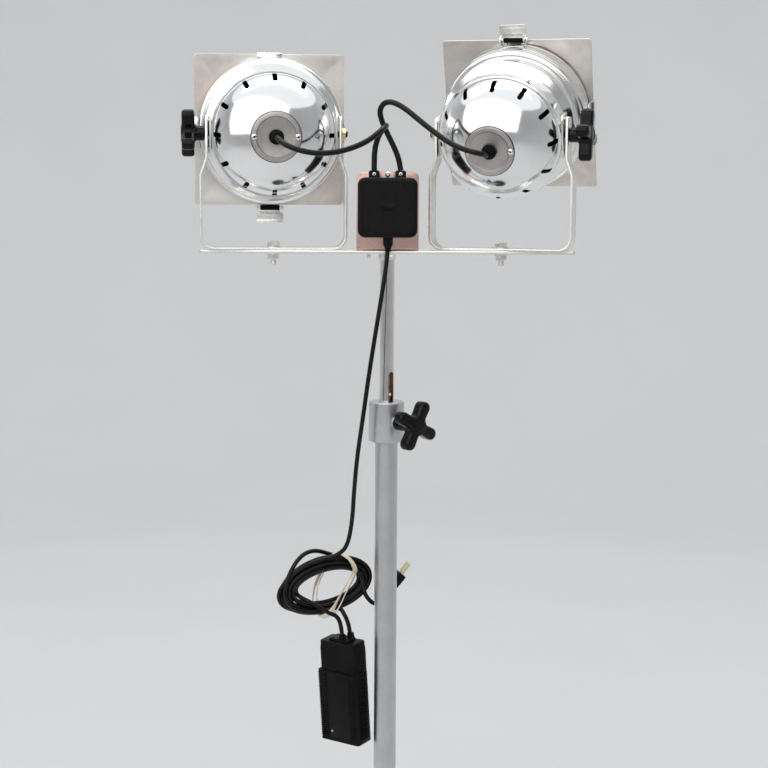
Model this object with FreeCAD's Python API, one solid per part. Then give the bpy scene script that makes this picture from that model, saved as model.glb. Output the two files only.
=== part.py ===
"""Twin-head spotlight on a telescopic stand, one STEP file for each sub-part.

Millimetres, +Z up, origin at the underside of the base, on the tube's axis.
The lamps point to +Y, so their backs, the junction box and the clamp knob face -Y.
"""

import FreeCAD, Part

import math
import os

os.makedirs("parts", exist_ok=True)

V = FreeCAD.Vector
X_AXIS = V(1, 0, 0)
Y_AXIS = V(0, 1, 0)
Z_AXIS = V(0, 0, 1)

# ---- driving dimensions ----
BAR_TOP = 1200.0          # height of the cross bar's top face
BAR_LENGTH = 460.0
BAR_WIDTH = 30.0
BAR_THICK = 4.0
HEAD_SPACING = 280.0      # between the two yoke bolts
PIVOT_RISE = 141.0        # tilt axis above the bar's top

BASE_R = 170.0
BASE_PAD = 3.0
BASE_THICK = 12.0
TUBE_R = 14.0
TUBE_BORE = 12.0
MAST_R = 9.0
MAST_BORE = 7.0
COLLAR_R = 22.0
COLLAR_TOP = BAR_TOP - 187.0
COLLAR_HEIGHT = 50.0
CLAMP_Z = COLLAR_TOP - 25.0
CLAMP_AZIMUTH = 40.0      # degrees from -Y towards +X
MAST_DOWN = 54.0          # travel of the mast, down and up
MAST_UP = 240.0
SLOT_WIDTH = 8.0
RUN_GAP = 0.05            # radial clearance of a running fit

YOKE_WIDTH = 180.0
YOKE_BAR = 25.0
YOKE_THICK = 3.0
YOKE_CORNER = 17.0
YOKE_KINK = 7.0
YOKE_TIP = 22.0           # arms end this far above the tilt axis

SHELL = 1.2
DOME_R = 73.5
DOME_RIM = -17.0          # stations along the lamp's axis, 0 at the tilt axis
DOME_DEPTH = 57.0
DISC_R = 30.0
BODY_R = 75.0
RIDGE_R = 84.5
RIDGE_START = 28.0
RIDGE_END = 58.0
RING_R = 91.0
RING_START = 60.0
RING_END = 93.0
FRAME_SIDE = 190.0
FRAME_PLACE = 97.0
FRAME_THICK = 1.6
FRAME_HOLE_R = 73.0
SLOTS = 12
SLOT_HALF = 2.9           # half width of a vent slot, and its ends behind the rim
SLOT_SPAN = (7.5, 24.5)
VENT_R = 3.2
RIVET_PLACE = 26.0        # cover rivets from the lamp's axis
GUIDE_HALF = 16.0         # half width of a frame guide
TAB_HEIGHT = 19.0         # latch tab above its hinge pin
LOBE_R = 7.5
LATCH_PIN = (84.0, 98.0)  # hinge pin of the latch: station, height

LAMP_CORD_R = 3.4
MAINS_CORD_R = 2.75

PLATE_Y = -13.0           # front face of the box bracket, towards +Y
PLATE_THICK = 2.0
PLATE_WIDTH = 76.0
PLATE_HEIGHT = 96.0
BOX_SIDE = 72.0
BOX_CENTRE_Z = 53.0       # above the bar's top
BOX_BACK = PLATE_Y - PLATE_THICK
BOX_SPLIT = BOX_BACK - 20.0
BOX_FRONT = BOX_BACK - 35.0
BOX_SCREWS = ((-26.0, BOX_CENTRE_Z - 26), (26.0, BOX_CENTRE_Z + 26))   # across and above the bar
PLATE_SCREW_Z = 92.4
CLAMP_PLACES = (-16.4, 15.5)   # the two lamp cords on the box's top
FOOT_SCREW = (-23.0, 2.0)      # second screw through the bracket's foot

M8_R = 4.0                # fixings: shank radius, hexagon across flats, head height
M8_HEX = 13.0
M8_HEAD = 5.3
M8_CLEARANCE = 4.05
M5_R = 2.5
M5_CLEARANCE = 2.55
M4_R = 2.0
M4_CLEARANCE = 2.05
BASE_BOLT_R = 5.0
BASE_BOLT_HEX = 18.0

KNOB_R = 32.0
KNOB_THICK = 16.0

COIL_CENTRE = V(-75.0, 14.0, BAR_TOP - 424.0)
COIL_YAW = 27.0
COIL_LONG = 52.0          # half axes of the middle turn
COIL_HIGH = 26.0
COIL_BUNDLE = (12.0, 11.0)

DIMMER_TOP = V(-56.5, 8.0, BAR_TOP - 494.0)
DIMMER_SIZE = (60.0, 28.0, 134.0)
DIMMER_YAW = -36.0
DIMMER_LEAN = 0.3         # about Y, after a nod of the top towards -Y
DIMMER_NOD = 6.0

# each head: side of the bar, turn about the bolt, tilt, roll about its own axis
HEADS = {
    "left": {"side": -1, "yaw": 6.5, "pitch": 4.0, "roll": 180.0},
    "right": {"side": 1, "yaw": -17.0, "pitch": 17.0, "roll": 0.0},
}

# routes of the free cords: corner points of the tube's straight runs
LEFT_LAMP_ROUTE = [
    (-16.4, -31, 97.4), (-16.6, -31, 113), (-15, -31, 128), (-10, -34, 141.5), (-3, -44, 149.5),
    (-1.5, -59, 151), (-9, -72, 143.5), (-23, -82, 132), (-41, -90, 123.5), (-61, -97, 118),
    (-81, -103, 116.5), (-99, -107, 119), (-113, -107, 123.5), (-124, -101, 129),
    (-130.1, -86.5, 134.9),
]
RIGHT_LAMP_ROUTE = [
    (15.5, -31, 97.5), (13.5, -31, 111), (6.5, -31, 127), (-1.5, -31, 143), (-8, -33, 157),
    (-10.5, -38, 169), (-5, -44, 178), (6, -50, 178.5), (21, -57, 170), (37.5, -66, 156),
    (55.5, -76, 141.5), (73.5, -87, 129), (89, -97, 122), (102, -102, 118.5), (111.5, -96, 116.5),
    (115.6, -79.8, 115.5),
]
LAMP_SPLIT = {"left": 9, "right": 10}   # the cord passes from mast to yoke after this point
MAIN_ROUTE = [
    (0.6, -32, 6), (-0.6, -32, -14), (-7, -32, -56), (-14, -31, -100), (-22, -29, -152),
    (-29, -23, -205), (-36, -14, -254), (-40, -6, -300), (-42, 1, -338), (-48, 8, -372),
    (-59, 13, -384), (-70, 14, -388),
]
LEAD_IN_ROUTE = [(-69, 3, -449), (-60, 1, -461), (-55, 3, -477), (-54.3, 6.5, -494)]
LEAD_OUT_ROUTE = [(-62, 7, -447), (-51, 3, -460), (-45.4, 6, -475), (-43.6, 11.5, -494)]
LOOSE_LOOP = [
    (-126, -12, -415), (-118.7, -8.3, -398), (-106.7, -2.2, -381), (-95, 3.8, -374),
    (-82, 10.4, -382), (-71, 16, -390),
]


# ---- helpers ----
def save(name, *solids):
    shape = solids[0] if len(solids) == 1 else Part.makeCompound(list(solids))
    shape.exportStep("parts/" + name + ".step")


def box(x0, x1, y0, y1, z0, z1):
    return Part.makeBox(x1 - x0, y1 - y0, z1 - z0, V(x0, y0, z0))


def rod(radius, start, end):
    """A cylinder from one point to another."""
    return Part.makeCylinder(radius, (end - start).Length, start, end - start)


def hexagon(across, start, end):
    """A hexagonal prism, across flats, from one point to another."""
    axis = end - start
    side = Z_AXIS if abs(axis.z) < 0.9 * axis.Length else X_AXIS
    first = axis.cross(side).normalize().multiply(across / math.sqrt(3))
    corners = [start + FreeCAD.Rotation(axis, 60 * n).multVec(first) for n in range(7)]
    return Part.Face(Part.makePolygon(corners)).extrude(axis)


def fillet_along(shape, radius, direction, tolerance=0.01):
    """Round every straight edge that runs along a direction."""
    edges = []
    for edge in shape.Edges:
        if isinstance(edge.Curve, Part.Line):
            along = edge.tangentAt(edge.FirstParameter)
            if abs(abs(along.dot(direction)) - 1) < tolerance:
                edges.append(edge)
    return shape.makeFillet(radius, edges)


def turned(points, centre=V(0, 0, 0), axis=Y_AXIS):
    """Revolve a closed outline of (station, radius) points about an axis."""
    side = X_AXIS
    corners = [centre + axis * s + side * r for s, r in points]
    face = Part.Face(Part.makePolygon(corners + corners[:1]))
    return face.revolve(centre, axis, 360)


def washer(outer, inner, start, end):
    return rod(outer, start, end).cut(rod(inner, start, end))


def bolt(centre, top, head_across, head_high, shank_r, end):
    """A hexagon bolt standing on its head: head above top, shank down to end."""
    head = hexagon(head_across, centre + Z_AXIS * top, centre + Z_AXIS * (top + head_high))
    return head.fuse(rod(shank_r, centre + Z_AXIS * end, centre + Z_AXIS * top))


def cord_tube(route, radius, lift=BAR_TOP):
    """A tube of straight runs joined by tangent arcs, each arc as large as its runs allow."""
    points = [V(x, y, z + lift) for x, y, z in route]
    edges = []
    start = points[0]
    radii = []
    for before, corner, after in zip(points, points[1:], points[2:]):
        back = before - corner
        ahead = after - corner
        reach = 0.45 * min(back.Length, ahead.Length)
        half_turn = (math.pi - back.getAngle(ahead)) / 2
        radii.append(reach / math.tan(half_turn))
        back.normalize()
        ahead.normalize()
        enter = corner + back * reach
        leave = corner + ahead * reach
        inward = (back + ahead).normalize()
        middle_gap = radii[-1] / math.cos(half_turn) - radii[-1]
        edges.append(Part.LineSegment(start, enter).toShape())
        edges.append(Part.Arc(enter, corner + inward * middle_gap, leave).toShape())
        start = leave
    edges.append(Part.LineSegment(start, points[-1]).toShape())
    wire = Part.Wire(edges)
    circle = Part.Wire(Part.makeCircle(radius, points[0], points[1] - points[0]))
    tube = wire.makePipeShell([circle], True, False)
    expected = math.pi * radius ** 2 * wire.Length
    print("cord: length %.0f, tightest arc %.1f, volume ratio %.4f"
          % (wire.Length, min(radii), tube.Volume / expected))
    return tube


def cross_knob(start, direction, stem_r, stem_long, bore=0.0):
    """A four-armed knob on a stem, its outer face away from start."""
    axis = V(direction).normalize()
    hub_start = start + axis * stem_long
    hub_end = hub_start + axis * KNOB_THICK
    knob = rod(stem_r, start, hub_start + axis)
    knob = knob.fuse(rod(14.0, hub_start, hub_end))
    across = axis.cross(Z_AXIS).normalize()
    for n in range(4):
        arm = FreeCAD.Rotation(axis, 62 + 90 * n).multVec(across)
        tip = arm * (KNOB_R - LOBE_R)
        lobe = rod(LOBE_R, hub_start + tip + axis * 2, hub_end + tip - axis * 2)
        width = axis.cross(arm).normalize() * 6.5
        corners = [
            hub_start + axis * 2 + width,
            hub_start + axis * 2 - width,
            hub_start + axis * 2 - width + tip,
            hub_start + axis * 2 + width + tip,
        ]
        web = Part.Face(Part.makePolygon(corners + corners[:1])).extrude(axis * (KNOB_THICK - 4))
        knob = knob.fuse([lobe, web])
    if bore:
        knob = knob.cut(rod(bore, start - axis, hub_end - axis * 5))
    return knob.removeSplitter()


# ---- stand ----
def make_stand():
    save("base_pad", rod(BASE_R - 5, V(0, 0, 0), V(0, 0, BASE_PAD)))

    plate_top = BASE_PAD + BASE_THICK
    plate = rod(BASE_R, V(0, 0, BASE_PAD), V(0, 0, plate_top))
    plate = plate.makeFillet(3.0, [e for e in plate.Edges if e.BoundBox.ZMin > plate_top - 1])
    hub = rod(20, V(0, 0, plate_top - 1), V(0, 0, plate_top + 30))
    hub = hub.makeFillet(2.0, [e for e in hub.Edges if e.BoundBox.ZMin > plate_top + 20])
    plate = plate.fuse(hub)
    plate = plate.cut(rod(TUBE_R, V(0, 0, plate_top - 4), V(0, 0, plate_top + 40)))
    plate = plate.cut(rod(6.2, V(0, 0, 0), V(0, 0, plate_top)))
    plate = plate.cut(rod(12, V(0, 0, 0), V(0, 0, BASE_PAD + 5.5)))
    save("base_plate", plate)

    foot = plate_top - 4
    tube_top = COLLAR_TOP - COLLAR_HEIGHT + 12
    tube = washer(TUBE_R, TUBE_BORE, V(0, 0, foot), V(0, 0, tube_top))
    plug = washer(TUBE_BORE, BASE_BOLT_R, V(0, 0, foot), V(0, 0, foot + 40))
    save("lower_tube", tube.fuse(plug).removeSplitter())

    head_top = BASE_PAD + 5.5
    bolt_head = hexagon(BASE_BOLT_HEX, V(0, 0, BASE_PAD), V(0, 0, head_top))
    save("base_bolt", bolt_head.fuse(rod(BASE_BOLT_R, V(0, 0, head_top), V(0, 0, foot + 30))))

    spigot = TUBE_BORE - 0.02
    outline = [
        (COLLAR_TOP, MAST_R + RUN_GAP), (COLLAR_TOP, COLLAR_R - 1.5), (COLLAR_TOP - 1.5, COLLAR_R),
        (COLLAR_TOP - COLLAR_HEIGHT + 1.5, COLLAR_R), (COLLAR_TOP - COLLAR_HEIGHT, COLLAR_R - 1.5),
        (COLLAR_TOP - COLLAR_HEIGHT, TUBE_R), (tube_top, TUBE_R), (tube_top, spigot),
        (tube_top - 40, spigot), (tube_top - 40, MAST_R + RUN_GAP),
    ]
    collar = turned(outline, axis=Z_AXIS)
    save("stand_collar", collar.cut(rod(M8_R + RUN_GAP, V(0, 0, CLAMP_Z), clamp_point(40))))


def clamp_point(distance):
    """A point on the clamp screw's axis, at a distance from the mast's axis."""
    turn = math.radians(CLAMP_AZIMUTH)
    return V(distance * math.sin(turn), -distance * math.cos(turn), CLAMP_Z)


def make_clamp_knob():
    outward = clamp_point(1) - V(0, 0, CLAMP_Z)
    knob = cross_knob(clamp_point(COLLAR_R + 0.6), outward, 9.0, 24.0)
    screw = rod(M8_R, clamp_point(MAST_R + 0.6), clamp_point(COLLAR_R + 1.6))
    dog = rod(3.2, clamp_point(MAST_BORE - 1.5), clamp_point(MAST_R + 1.6))
    save("clamp_knob", knob.fuse([screw, dog]).removeSplitter())


# ---- mast and cross bar ----
def foot_screw_hole():
    x, y = FOOT_SCREW
    return rod(M5_CLEARANCE, V(x, y, BAR_TOP - 10), V(x, y, BAR_TOP + 10))


def make_mast():
    top = BAR_TOP - BAR_THICK - 8
    foot = CLAMP_Z - MAST_UP - 110
    slot_top = CLAMP_Z + MAST_DOWN + 8
    slot_end = CLAMP_Z - MAST_UP - 8
    mast = washer(MAST_R, MAST_BORE, V(0, 0, foot), V(0, 0, top))
    plug = washer(MAST_BORE, M8_R, V(0, 0, top - 30), V(0, 0, top))
    mast = mast.fuse(plug).removeSplitter()
    half = SLOT_WIDTH / 2
    slot = box(-half, half, -MAST_R - 1, 0, slot_end + half, slot_top - half)
    for z in (slot_end + half, slot_top - half):
        slot = slot.fuse(rod(half, V(0, -MAST_R - 1, z), V(0, 0, z)))
    slot.rotate(V(0, 0, 0), Z_AXIS, CLAMP_AZIMUTH)
    save("mast", mast.cut(slot))

    guide = washer(TUBE_BORE - RUN_GAP, MAST_R, V(0, 0, foot), V(0, 0, foot + 25))
    floor = rod(TUBE_BORE - RUN_GAP, V(0, 0, foot - 3), V(0, 0, foot))
    save("mast_guide", guide.fuse(floor))

    nut = hexagon(18.5, V(0, 0, top), V(0, 0, BAR_TOP - BAR_THICK))
    save("mast_nut", nut.cut(rod(M8_R, V(0, 0, top - 1), V(0, 0, BAR_TOP))))
    under_head = BAR_TOP + PLATE_THICK
    mast_bolt = bolt(V(0, 0, 0), under_head, M8_HEX, M8_HEAD, M8_R, top - 20)
    foot_screw = bolt(V(*FOOT_SCREW, 0), under_head, 10, 4.0, M5_R, BAR_TOP - BAR_THICK - 6)
    save("mast_bolt", mast_bolt, foot_screw)


def make_cross_bar():
    half = BAR_LENGTH / 2
    bar = box(-half, half, -BAR_WIDTH / 2, BAR_WIDTH / 2, BAR_TOP - BAR_THICK, BAR_TOP)
    bar = fillet_along(bar, 4.0, Z_AXIS)
    for x in (-HEAD_SPACING / 2, 0, HEAD_SPACING / 2):
        bar = bar.cut(rod(M8_CLEARANCE, V(x, 0, BAR_TOP - 10), V(x, 0, BAR_TOP + 10)))
    save("cross_bar", bar.cut(foot_screw_hole()))

    bolts = []
    nuts = []
    for x in (-HEAD_SPACING / 2, HEAD_SPACING / 2):
        at = V(x, 0, 0)
        washer_top = BAR_TOP + YOKE_THICK + 1.6
        bolts.append(bolt(at, washer_top, M8_HEX, M8_HEAD, M8_R, BAR_TOP - 22))
        under = BAR_TOP - BAR_THICK
        for low, high, outer in ((washer_top - 1.6, washer_top, 8.5), (under - 1.6, under, 9.5)):
            ring = washer(outer, M8_R, V(x, 0, low), V(x, 0, high))
            bolts.append(ring)
        nut = hexagon(M8_HEX, V(x, 0, under - 8.1), V(x, 0, under - 1.6))
        nuts.append(nut.cut(rod(M8_R, V(x, 0, under - 10), V(x, 0, under))))
    save("yoke_bolts", *bolts)
    save("yoke_nuts", *nuts)


# ---- junction box on its bracket ----
def make_bracket():
    half = PLATE_WIDTH / 2
    plate = box(-half, half, PLATE_Y - PLATE_THICK, PLATE_Y, BAR_TOP, BAR_TOP + PLATE_HEIGHT)
    tops = [
        e for e in plate.Edges
        if e.BoundBox.ZMin > BAR_TOP + PLATE_HEIGHT - 1 and e.BoundBox.XLength < 0.1
    ]
    plate = plate.makeFillet(7.5, tops)
    foot = box(-half, half, PLATE_Y - PLATE_THICK, 12, BAR_TOP, BAR_TOP + PLATE_THICK)
    bracket = plate.fuse(foot).removeSplitter()
    bracket = bracket.cut(rod(M8_CLEARANCE, V(0, 0, BAR_TOP - 1), V(0, 0, BAR_TOP + 3)))
    bracket = bracket.cut(foot_screw_hole())
    for x, z in BOX_SCREWS + ((0.0, PLATE_SCREW_Z),):
        at = V(x, 0, BAR_TOP + z)
        hole = rod(M4_CLEARANCE, at + Y_AXIS * (BOX_BACK - 1), at + Y_AXIS * (PLATE_Y + 1))
        bracket = bracket.cut(hole)
    save("box_bracket", bracket)


def rounded_block(half, y_near, y_far, corner):
    """A square block about the box's centre, its upright edges rounded."""
    z = BAR_TOP + BOX_CENTRE_Z
    block = box(-half, half, y_near, y_far, z - half, z + half)
    return fillet_along(block, corner, Y_AXIS)


def make_junction_box():
    half = BOX_SIDE / 2
    base = rounded_block(half, BOX_SPLIT, BOX_BACK, 9.0)
    base = base.cut(rounded_block(half - 2, BOX_SPLIT - 1, BOX_BACK - 2.5, 7.0))
    for x, z in BOX_SCREWS:
        at = V(x, 0, BAR_TOP + z)
        post = rod(4.5, at + Y_AXIS * (BOX_BACK - 14), at + Y_AXIS * (BOX_BACK - 1))
        base = base.fuse(post)
        base = base.cut(rod(M4_R, at + Y_AXIS * (BOX_BACK - 20), at + Y_AXIS * (BOX_BACK + 1)))
    save("box_base", base)

    cover = rounded_block(half, BOX_FRONT, BOX_SPLIT, 9.0)
    front_edges = [e for e in cover.Edges if e.BoundBox.YMax < BOX_FRONT + 0.1]
    cover = cover.makeFillet(2.5, front_edges)
    save("box_cover", cover.cut(rounded_block(half - 2, BOX_FRONT + 2, BOX_SPLIT + 1, 7.0)))

    top = BAR_TOP + BOX_CENTRE_Z + half
    clamps = []
    screws = []
    for x in CLAMP_PLACES:
        clamp = box(x - 6.5, x + 6.5, BOX_SPLIT - 3, BOX_SPLIT + 11, top, top + 8)
        clamp = clamp.cut(rod(LAMP_CORD_R, V(x, -31, top - 1), V(x, -31, top + 9)))
        face = BOX_SPLIT - 3
        clamps.append(clamp)
        screws.append(rod(3.0, V(x, face - 2, top + 4), V(x, face, top + 4)))
    low = top - BOX_SIDE
    entry = box(-5.5, 6.7, BOX_SPLIT - 3, BOX_SPLIT + 9, low - 11, low)
    clamps.append(entry.cut(rod(MAINS_CORD_R, V(0.6, -32, low - 12), V(0.6, -32, low + 1))))
    save("cord_clamps", *clamps)

    for x, z in BOX_SCREWS:
        at = V(x, 0, BAR_TOP + z)
        head = rod(3.8, at + Y_AXIS * PLATE_Y, at + Y_AXIS * (PLATE_Y + 2.4))
        screws.append(head.fuse(rod(M4_R, at + Y_AXIS * (BOX_BACK - 12), at + Y_AXIS * PLATE_Y)))
    at = V(0, 0, BAR_TOP + PLATE_SCREW_Z)
    head = rod(3.2, at + Y_AXIS * (BOX_BACK - 2.4), at + Y_AXIS * BOX_BACK)
    screws.append(head.fuse(rod(M4_R, at + Y_AXIS * BOX_BACK, at + Y_AXIS * (PLATE_Y + 3))))
    save("box_screws", *screws)

    z = BAR_TOP + BOX_CENTRE_Z
    block = box(-22, 22, BOX_BACK - 16, BOX_BACK - 2.5, z - 8, z + 8)
    for n in range(4):
        x = -16.5 + 11 * n
        block = block.cut(rod(2.2, V(x, BOX_BACK - 17, z), V(x, BOX_BACK - 10, z)))
    save("terminal_block", block)


# ---- lamp head, built with its tilt axis at the origin and its front to +Y ----
def dome_profile(shrink):
    """Points along the dome's back, from the rim to the flat disc."""
    radius = DOME_R - shrink
    depth = DOME_DEPTH - shrink
    last = math.acos((DISC_R - 4) / radius)
    steps = 9
    angles = [last * n / steps for n in range(steps + 1)]
    return [(DOME_RIM - depth * math.sin(a), radius * math.cos(a)) for a in angles]


def make_dome():
    outer = [V(r, s, 0) for s, r in dome_profile(0)]
    inner = [V(r, s, 0) for s, r in dome_profile(SHELL)]
    outer_curve = Part.BSplineCurve()
    outer_curve.interpolate(outer)
    inner_curve = Part.BSplineCurve()
    inner_curve.interpolate(inner)
    back_outer = V(5.0, outer[-1].y, 0)
    back_inner = V(5.0, inner[-1].y, 0)
    flange = [
        V(inner[0].x, DOME_RIM + 2, 0), V(BODY_R + 1, DOME_RIM + 2, 0),
        V(BODY_R + 1, DOME_RIM, 0),
    ]
    edges = [
        outer_curve.toShape(),
        Part.makeLine(outer[-1], back_outer),
        Part.makeLine(back_outer, back_inner),
        Part.makeLine(back_inner, inner[-1]),
        inner_curve.toShape(),
        Part.makeLine(inner[0], flange[0]),
        Part.makeLine(flange[0], flange[1]),
        Part.makeLine(flange[1], flange[2]),
        Part.makeLine(flange[2], outer[0]),
    ]
    face = Part.Face(Part.Wire(Part.__sortEdges__(edges)))
    dome = face.revolve(V(0, 0, 0), Y_AXIS, 360)
    half = SLOT_HALF
    low, high = DOME_R - 17, DOME_R + 3
    near, far = DOME_RIM - SLOT_SPAN[0], DOME_RIM - SLOT_SPAN[1]
    cuts = []
    for n in range(SLOTS):
        cut = box(-half, half, far, near, low, high)
        for y in (far, near):
            cut = cut.fuse(rod(half, V(0, y, low), V(0, y, high)))
        cut.rotate(V(0, 0, 0), Y_AXIS, 360.0 * n / SLOTS)
        cuts.append(cut)
    return dome.cut(cuts)


def make_can():
    """The middle shell: a short cylinder that steps out to the ridge."""
    s0 = DOME_RIM + 2
    outer = [
        (s0, BODY_R), (RIDGE_START - 5, BODY_R), (RIDGE_START, RIDGE_R), (RIDGE_END, RIDGE_R),
    ]
    inner = [(s, r - SHELL) for s, r in reversed(outer)]
    can = turned(outer + inner)
    holes = []
    for n in range(SLOTS):
        if n % 6 == 3:
            continue
        hole = rod(VENT_R, V(0, s0 + 9, BODY_R - 4), V(0, s0 + 9, BODY_R + 4))
        hole.rotate(V(0, 0, 0), Y_AXIS, 360.0 * n / SLOTS)
        holes.append(hole)
    for side in (-1, 1):
        holes.append(rod(M8_R, V(side * 60, 0, 0), V(side * 90, 0, 0)))
    return can.cut(holes)


def make_front_ring():
    """The stepped front ring, with three frame guides and the latch bracket welded on."""
    t = SHELL
    outline = [
        (RIDGE_END, RIDGE_R - t), (RIDGE_END, RIDGE_R + 2), (RING_START, RING_R - 1),
        (RING_START + 1, RING_R), (RING_END, RING_R), (RING_END, RING_R - 7),
        (RING_END - t, RING_R - 7), (RING_END - t, RING_R - t), (RING_START + t, RING_R - t),
        (RING_START + t, RIDGE_R + 1), (RIDGE_END + t, RIDGE_R - t),
    ]
    ring = turned(outline)
    half = FRAME_SIDE / 2
    near = FRAME_PLACE - FRAME_THICK / 2 - 0.3
    far = FRAME_PLACE + FRAME_THICK / 2 + 0.3
    wide = GUIDE_HALF
    for turn in (90, 180, 270):
        guide = box(-wide, wide, near - t, near, half - 9, half + 0.4 + t)
        guide = guide.fuse(box(-wide, wide, near, far + t, half + 0.4, half + 0.4 + t))
        guide = guide.fuse(box(-wide, wide, far, far + t, half - 5, half + 0.4 + t))
        guide = guide.fuse(box(-wide, wide, RING_END - 12, near, RING_R - 1.6, RING_R + 0.5))
        guide = guide.cut(rod(RING_R - 0.6, V(0, 0, 0), V(0, RING_END, 0)))
        guide = guide.fuse(box(-wide, wide, RING_END - 0.1, near, RING_R - 5, RING_R + 0.5))
        guide.rotate(V(0, 0, 0), Y_AXIS, turn)
        ring = ring.fuse(guide)
    pin_y, pin_z = LATCH_PIN
    base = box(-wide, wide, pin_y - 7, pin_y + 7, RING_R - 2.2, RING_R + 1.2)
    base = base.cut(rod(RING_R - 0.6, V(0, 0, 0), V(0, RING_END, 0)))
    for side in (-1, 1):
        x = side * 15.4
        ear = box(x - 0.6, x + 0.6, pin_y - 5, pin_y + 5, RING_R - 2.0, pin_z)
        ear = ear.fuse(rod(5.0, V(x - 0.6, pin_y, pin_z), V(x + 0.6, pin_y, pin_z)))
        base = base.fuse(ear)
    base = base.cut(rod(1.5 + RUN_GAP, V(-20, pin_y, pin_z), V(20, pin_y, pin_z)))
    return ring.fuse(base).removeSplitter()


def make_latch():
    """A finger tab and hook round a hinge pin that turns in the bracket's ears."""
    pin_y, pin_z = LATCH_PIN
    t = 1.2
    hook_y = FRAME_PLACE + FRAME_THICK / 2 + 1.8
    arm = box(-13, 13, pin_y, hook_y + t, pin_z + 1.4, pin_z + 1.4 + t)
    hook = box(-13, 13, hook_y, hook_y + t, FRAME_SIDE / 2 - 5, pin_z + 1.4 + t)
    curl = rod(3.0, V(-13, pin_y, pin_z), V(13, pin_y, pin_z))
    tab = box(-17, 17, pin_y - 3, pin_y - 3 + t, pin_z + 5.6, pin_z + TAB_HEIGHT)
    top = pin_z + TAB_HEIGHT - 0.3
    top_corners = [e for e in tab.Edges if e.BoundBox.ZMin > top and e.BoundBox.XLength < 0.1]
    tab = tab.makeFillet(3.5, top_corners)
    stem = box(-13, 13, pin_y - 3, pin_y - 3 + t, pin_z, pin_z + 6)
    latch = curl.fuse([arm, hook, tab, stem]).removeSplitter()
    pin = rod(1.5, V(-18.5, pin_y, pin_z), V(18.5, pin_y, pin_z))
    return [latch.cut(pin), pin]


def make_colour_frame():
    half = FRAME_SIDE / 2
    y0 = FRAME_PLACE - FRAME_THICK / 2
    y1 = FRAME_PLACE + FRAME_THICK / 2
    plate = fillet_along(box(-half, half, y0, y1, -half, half), 4.0, Y_AXIS)
    return plate.cut(rod(FRAME_HOLE_R, V(0, y0 - 1, 0), V(0, y1 + 1, 0)))


def make_lens():
    """A stepped lens: flat back, rings of sloping faces in front."""
    edge = RING_R - SHELL - 0.3
    back = RING_END - SHELL - 8.0
    outline = [(back, 0), (back, edge), (back + 4, edge)]
    rings = 6
    pitch = (edge - 4) / rings
    for n in range(rings, 0, -1):
        outline.append((back + 4, n * pitch))
        outline.append((back + 7 if n > 1 else back + 7.6, (n - 1) * pitch + 1.0 * (n > 1)))
    return turned(outline)


def make_lamp():
    socket = box(-20, 20, -66, -46, -12, 12)
    socket = fillet_along(socket, 3.0, Y_AXIS)
    back = dome_profile(SHELL)[-1][0]
    posts = [rod(2.5, V(x, back, 0), V(x, -62, 0)) for x in (-17, 17)]
    socket = socket.fuse(posts)
    neck = rod(9.0, V(0, -46, 0), V(0, -34, 0))
    bulb = rod(14.0, V(0, -34, 0), V(0, 6, 0))
    bulb = bulb.fuse(Part.makeSphere(14.0, V(0, 6, 0)))
    lamp = neck.fuse(bulb).removeSplitter()
    return socket, lamp


def make_back_cover():
    s = dome_profile(0)[-1][0]
    cover = washer(DISC_R, 5.0, V(0, s - 2, 0), V(0, s, 0))
    for side in (-1, 1):
        x = side * RIVET_PLACE
        head = rod(3.4, V(x, s - 3.2, 0), V(x, s - 1.9, 0))
        cover = cover.fuse(head)
    gland = turned([(s + 1, 0), (s + 1, 5.0), (s - 2, 5.0), (s - 2, 8.5), (s - 6, 8.5),
                    (s - 7, 7.0), (s - 15, 5.2), (s - 15, 0)])
    return cover, gland.cut(rod(LAMP_CORD_R, V(0, s - 16, 0), V(0, s - 6, 0)))


def make_pivots():
    """Side plates, their studs and the lock nut. The knob runs on the longer stud, at +X."""
    plates = []
    studs = []
    arm = YOKE_WIDTH / 2 - YOKE_KINK
    for side in (-1, 1):
        plate = box(-15, 15, -1.1, 1.1, -26, 26)
        plate = fillet_along(plate, 6.0, Y_AXIS)
        plate.rotate(V(0, 0, 0), Z_AXIS, 90)
        plate.translate(V(side * (BODY_R + 1.7), 0, 0))
        plate = plate.cut(rod(M8_R, V(side * 70, 0, 0), V(side * 82, 0, 0)))
        for z in (-20, 20):
            rivet = rod(2.4, V(side * (BODY_R - 3), 0, z), V(side * (BODY_R + 1), 0, z))
            plate = plate.fuse(rivet)
        body_hole = rod(BODY_R, V(0, -20, 0), V(0, 20, 0))
        plates.append(plate.cut(body_hole))
        end = arm + 15 if side == 1 else arm + 8
        stud = rod(M8_R, V(side * (BODY_R - 6), 0, 0), V(side * end, 0, 0))
        head = hexagon(M8_HEX, V(side * (BODY_R - 8), 0, 0), V(side * (BODY_R - 3.5), 0, 0))
        studs.append(stud.fuse(head))
    nut = hexagon(M8_HEX, V(-arm - 0.6, 0, 0), V(-arm - 5.6, 0, 0))
    studs.append(nut.cut(rod(M8_R, V(-70, 0, 0), V(-100, 0, 0))))
    return plates, studs


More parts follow.
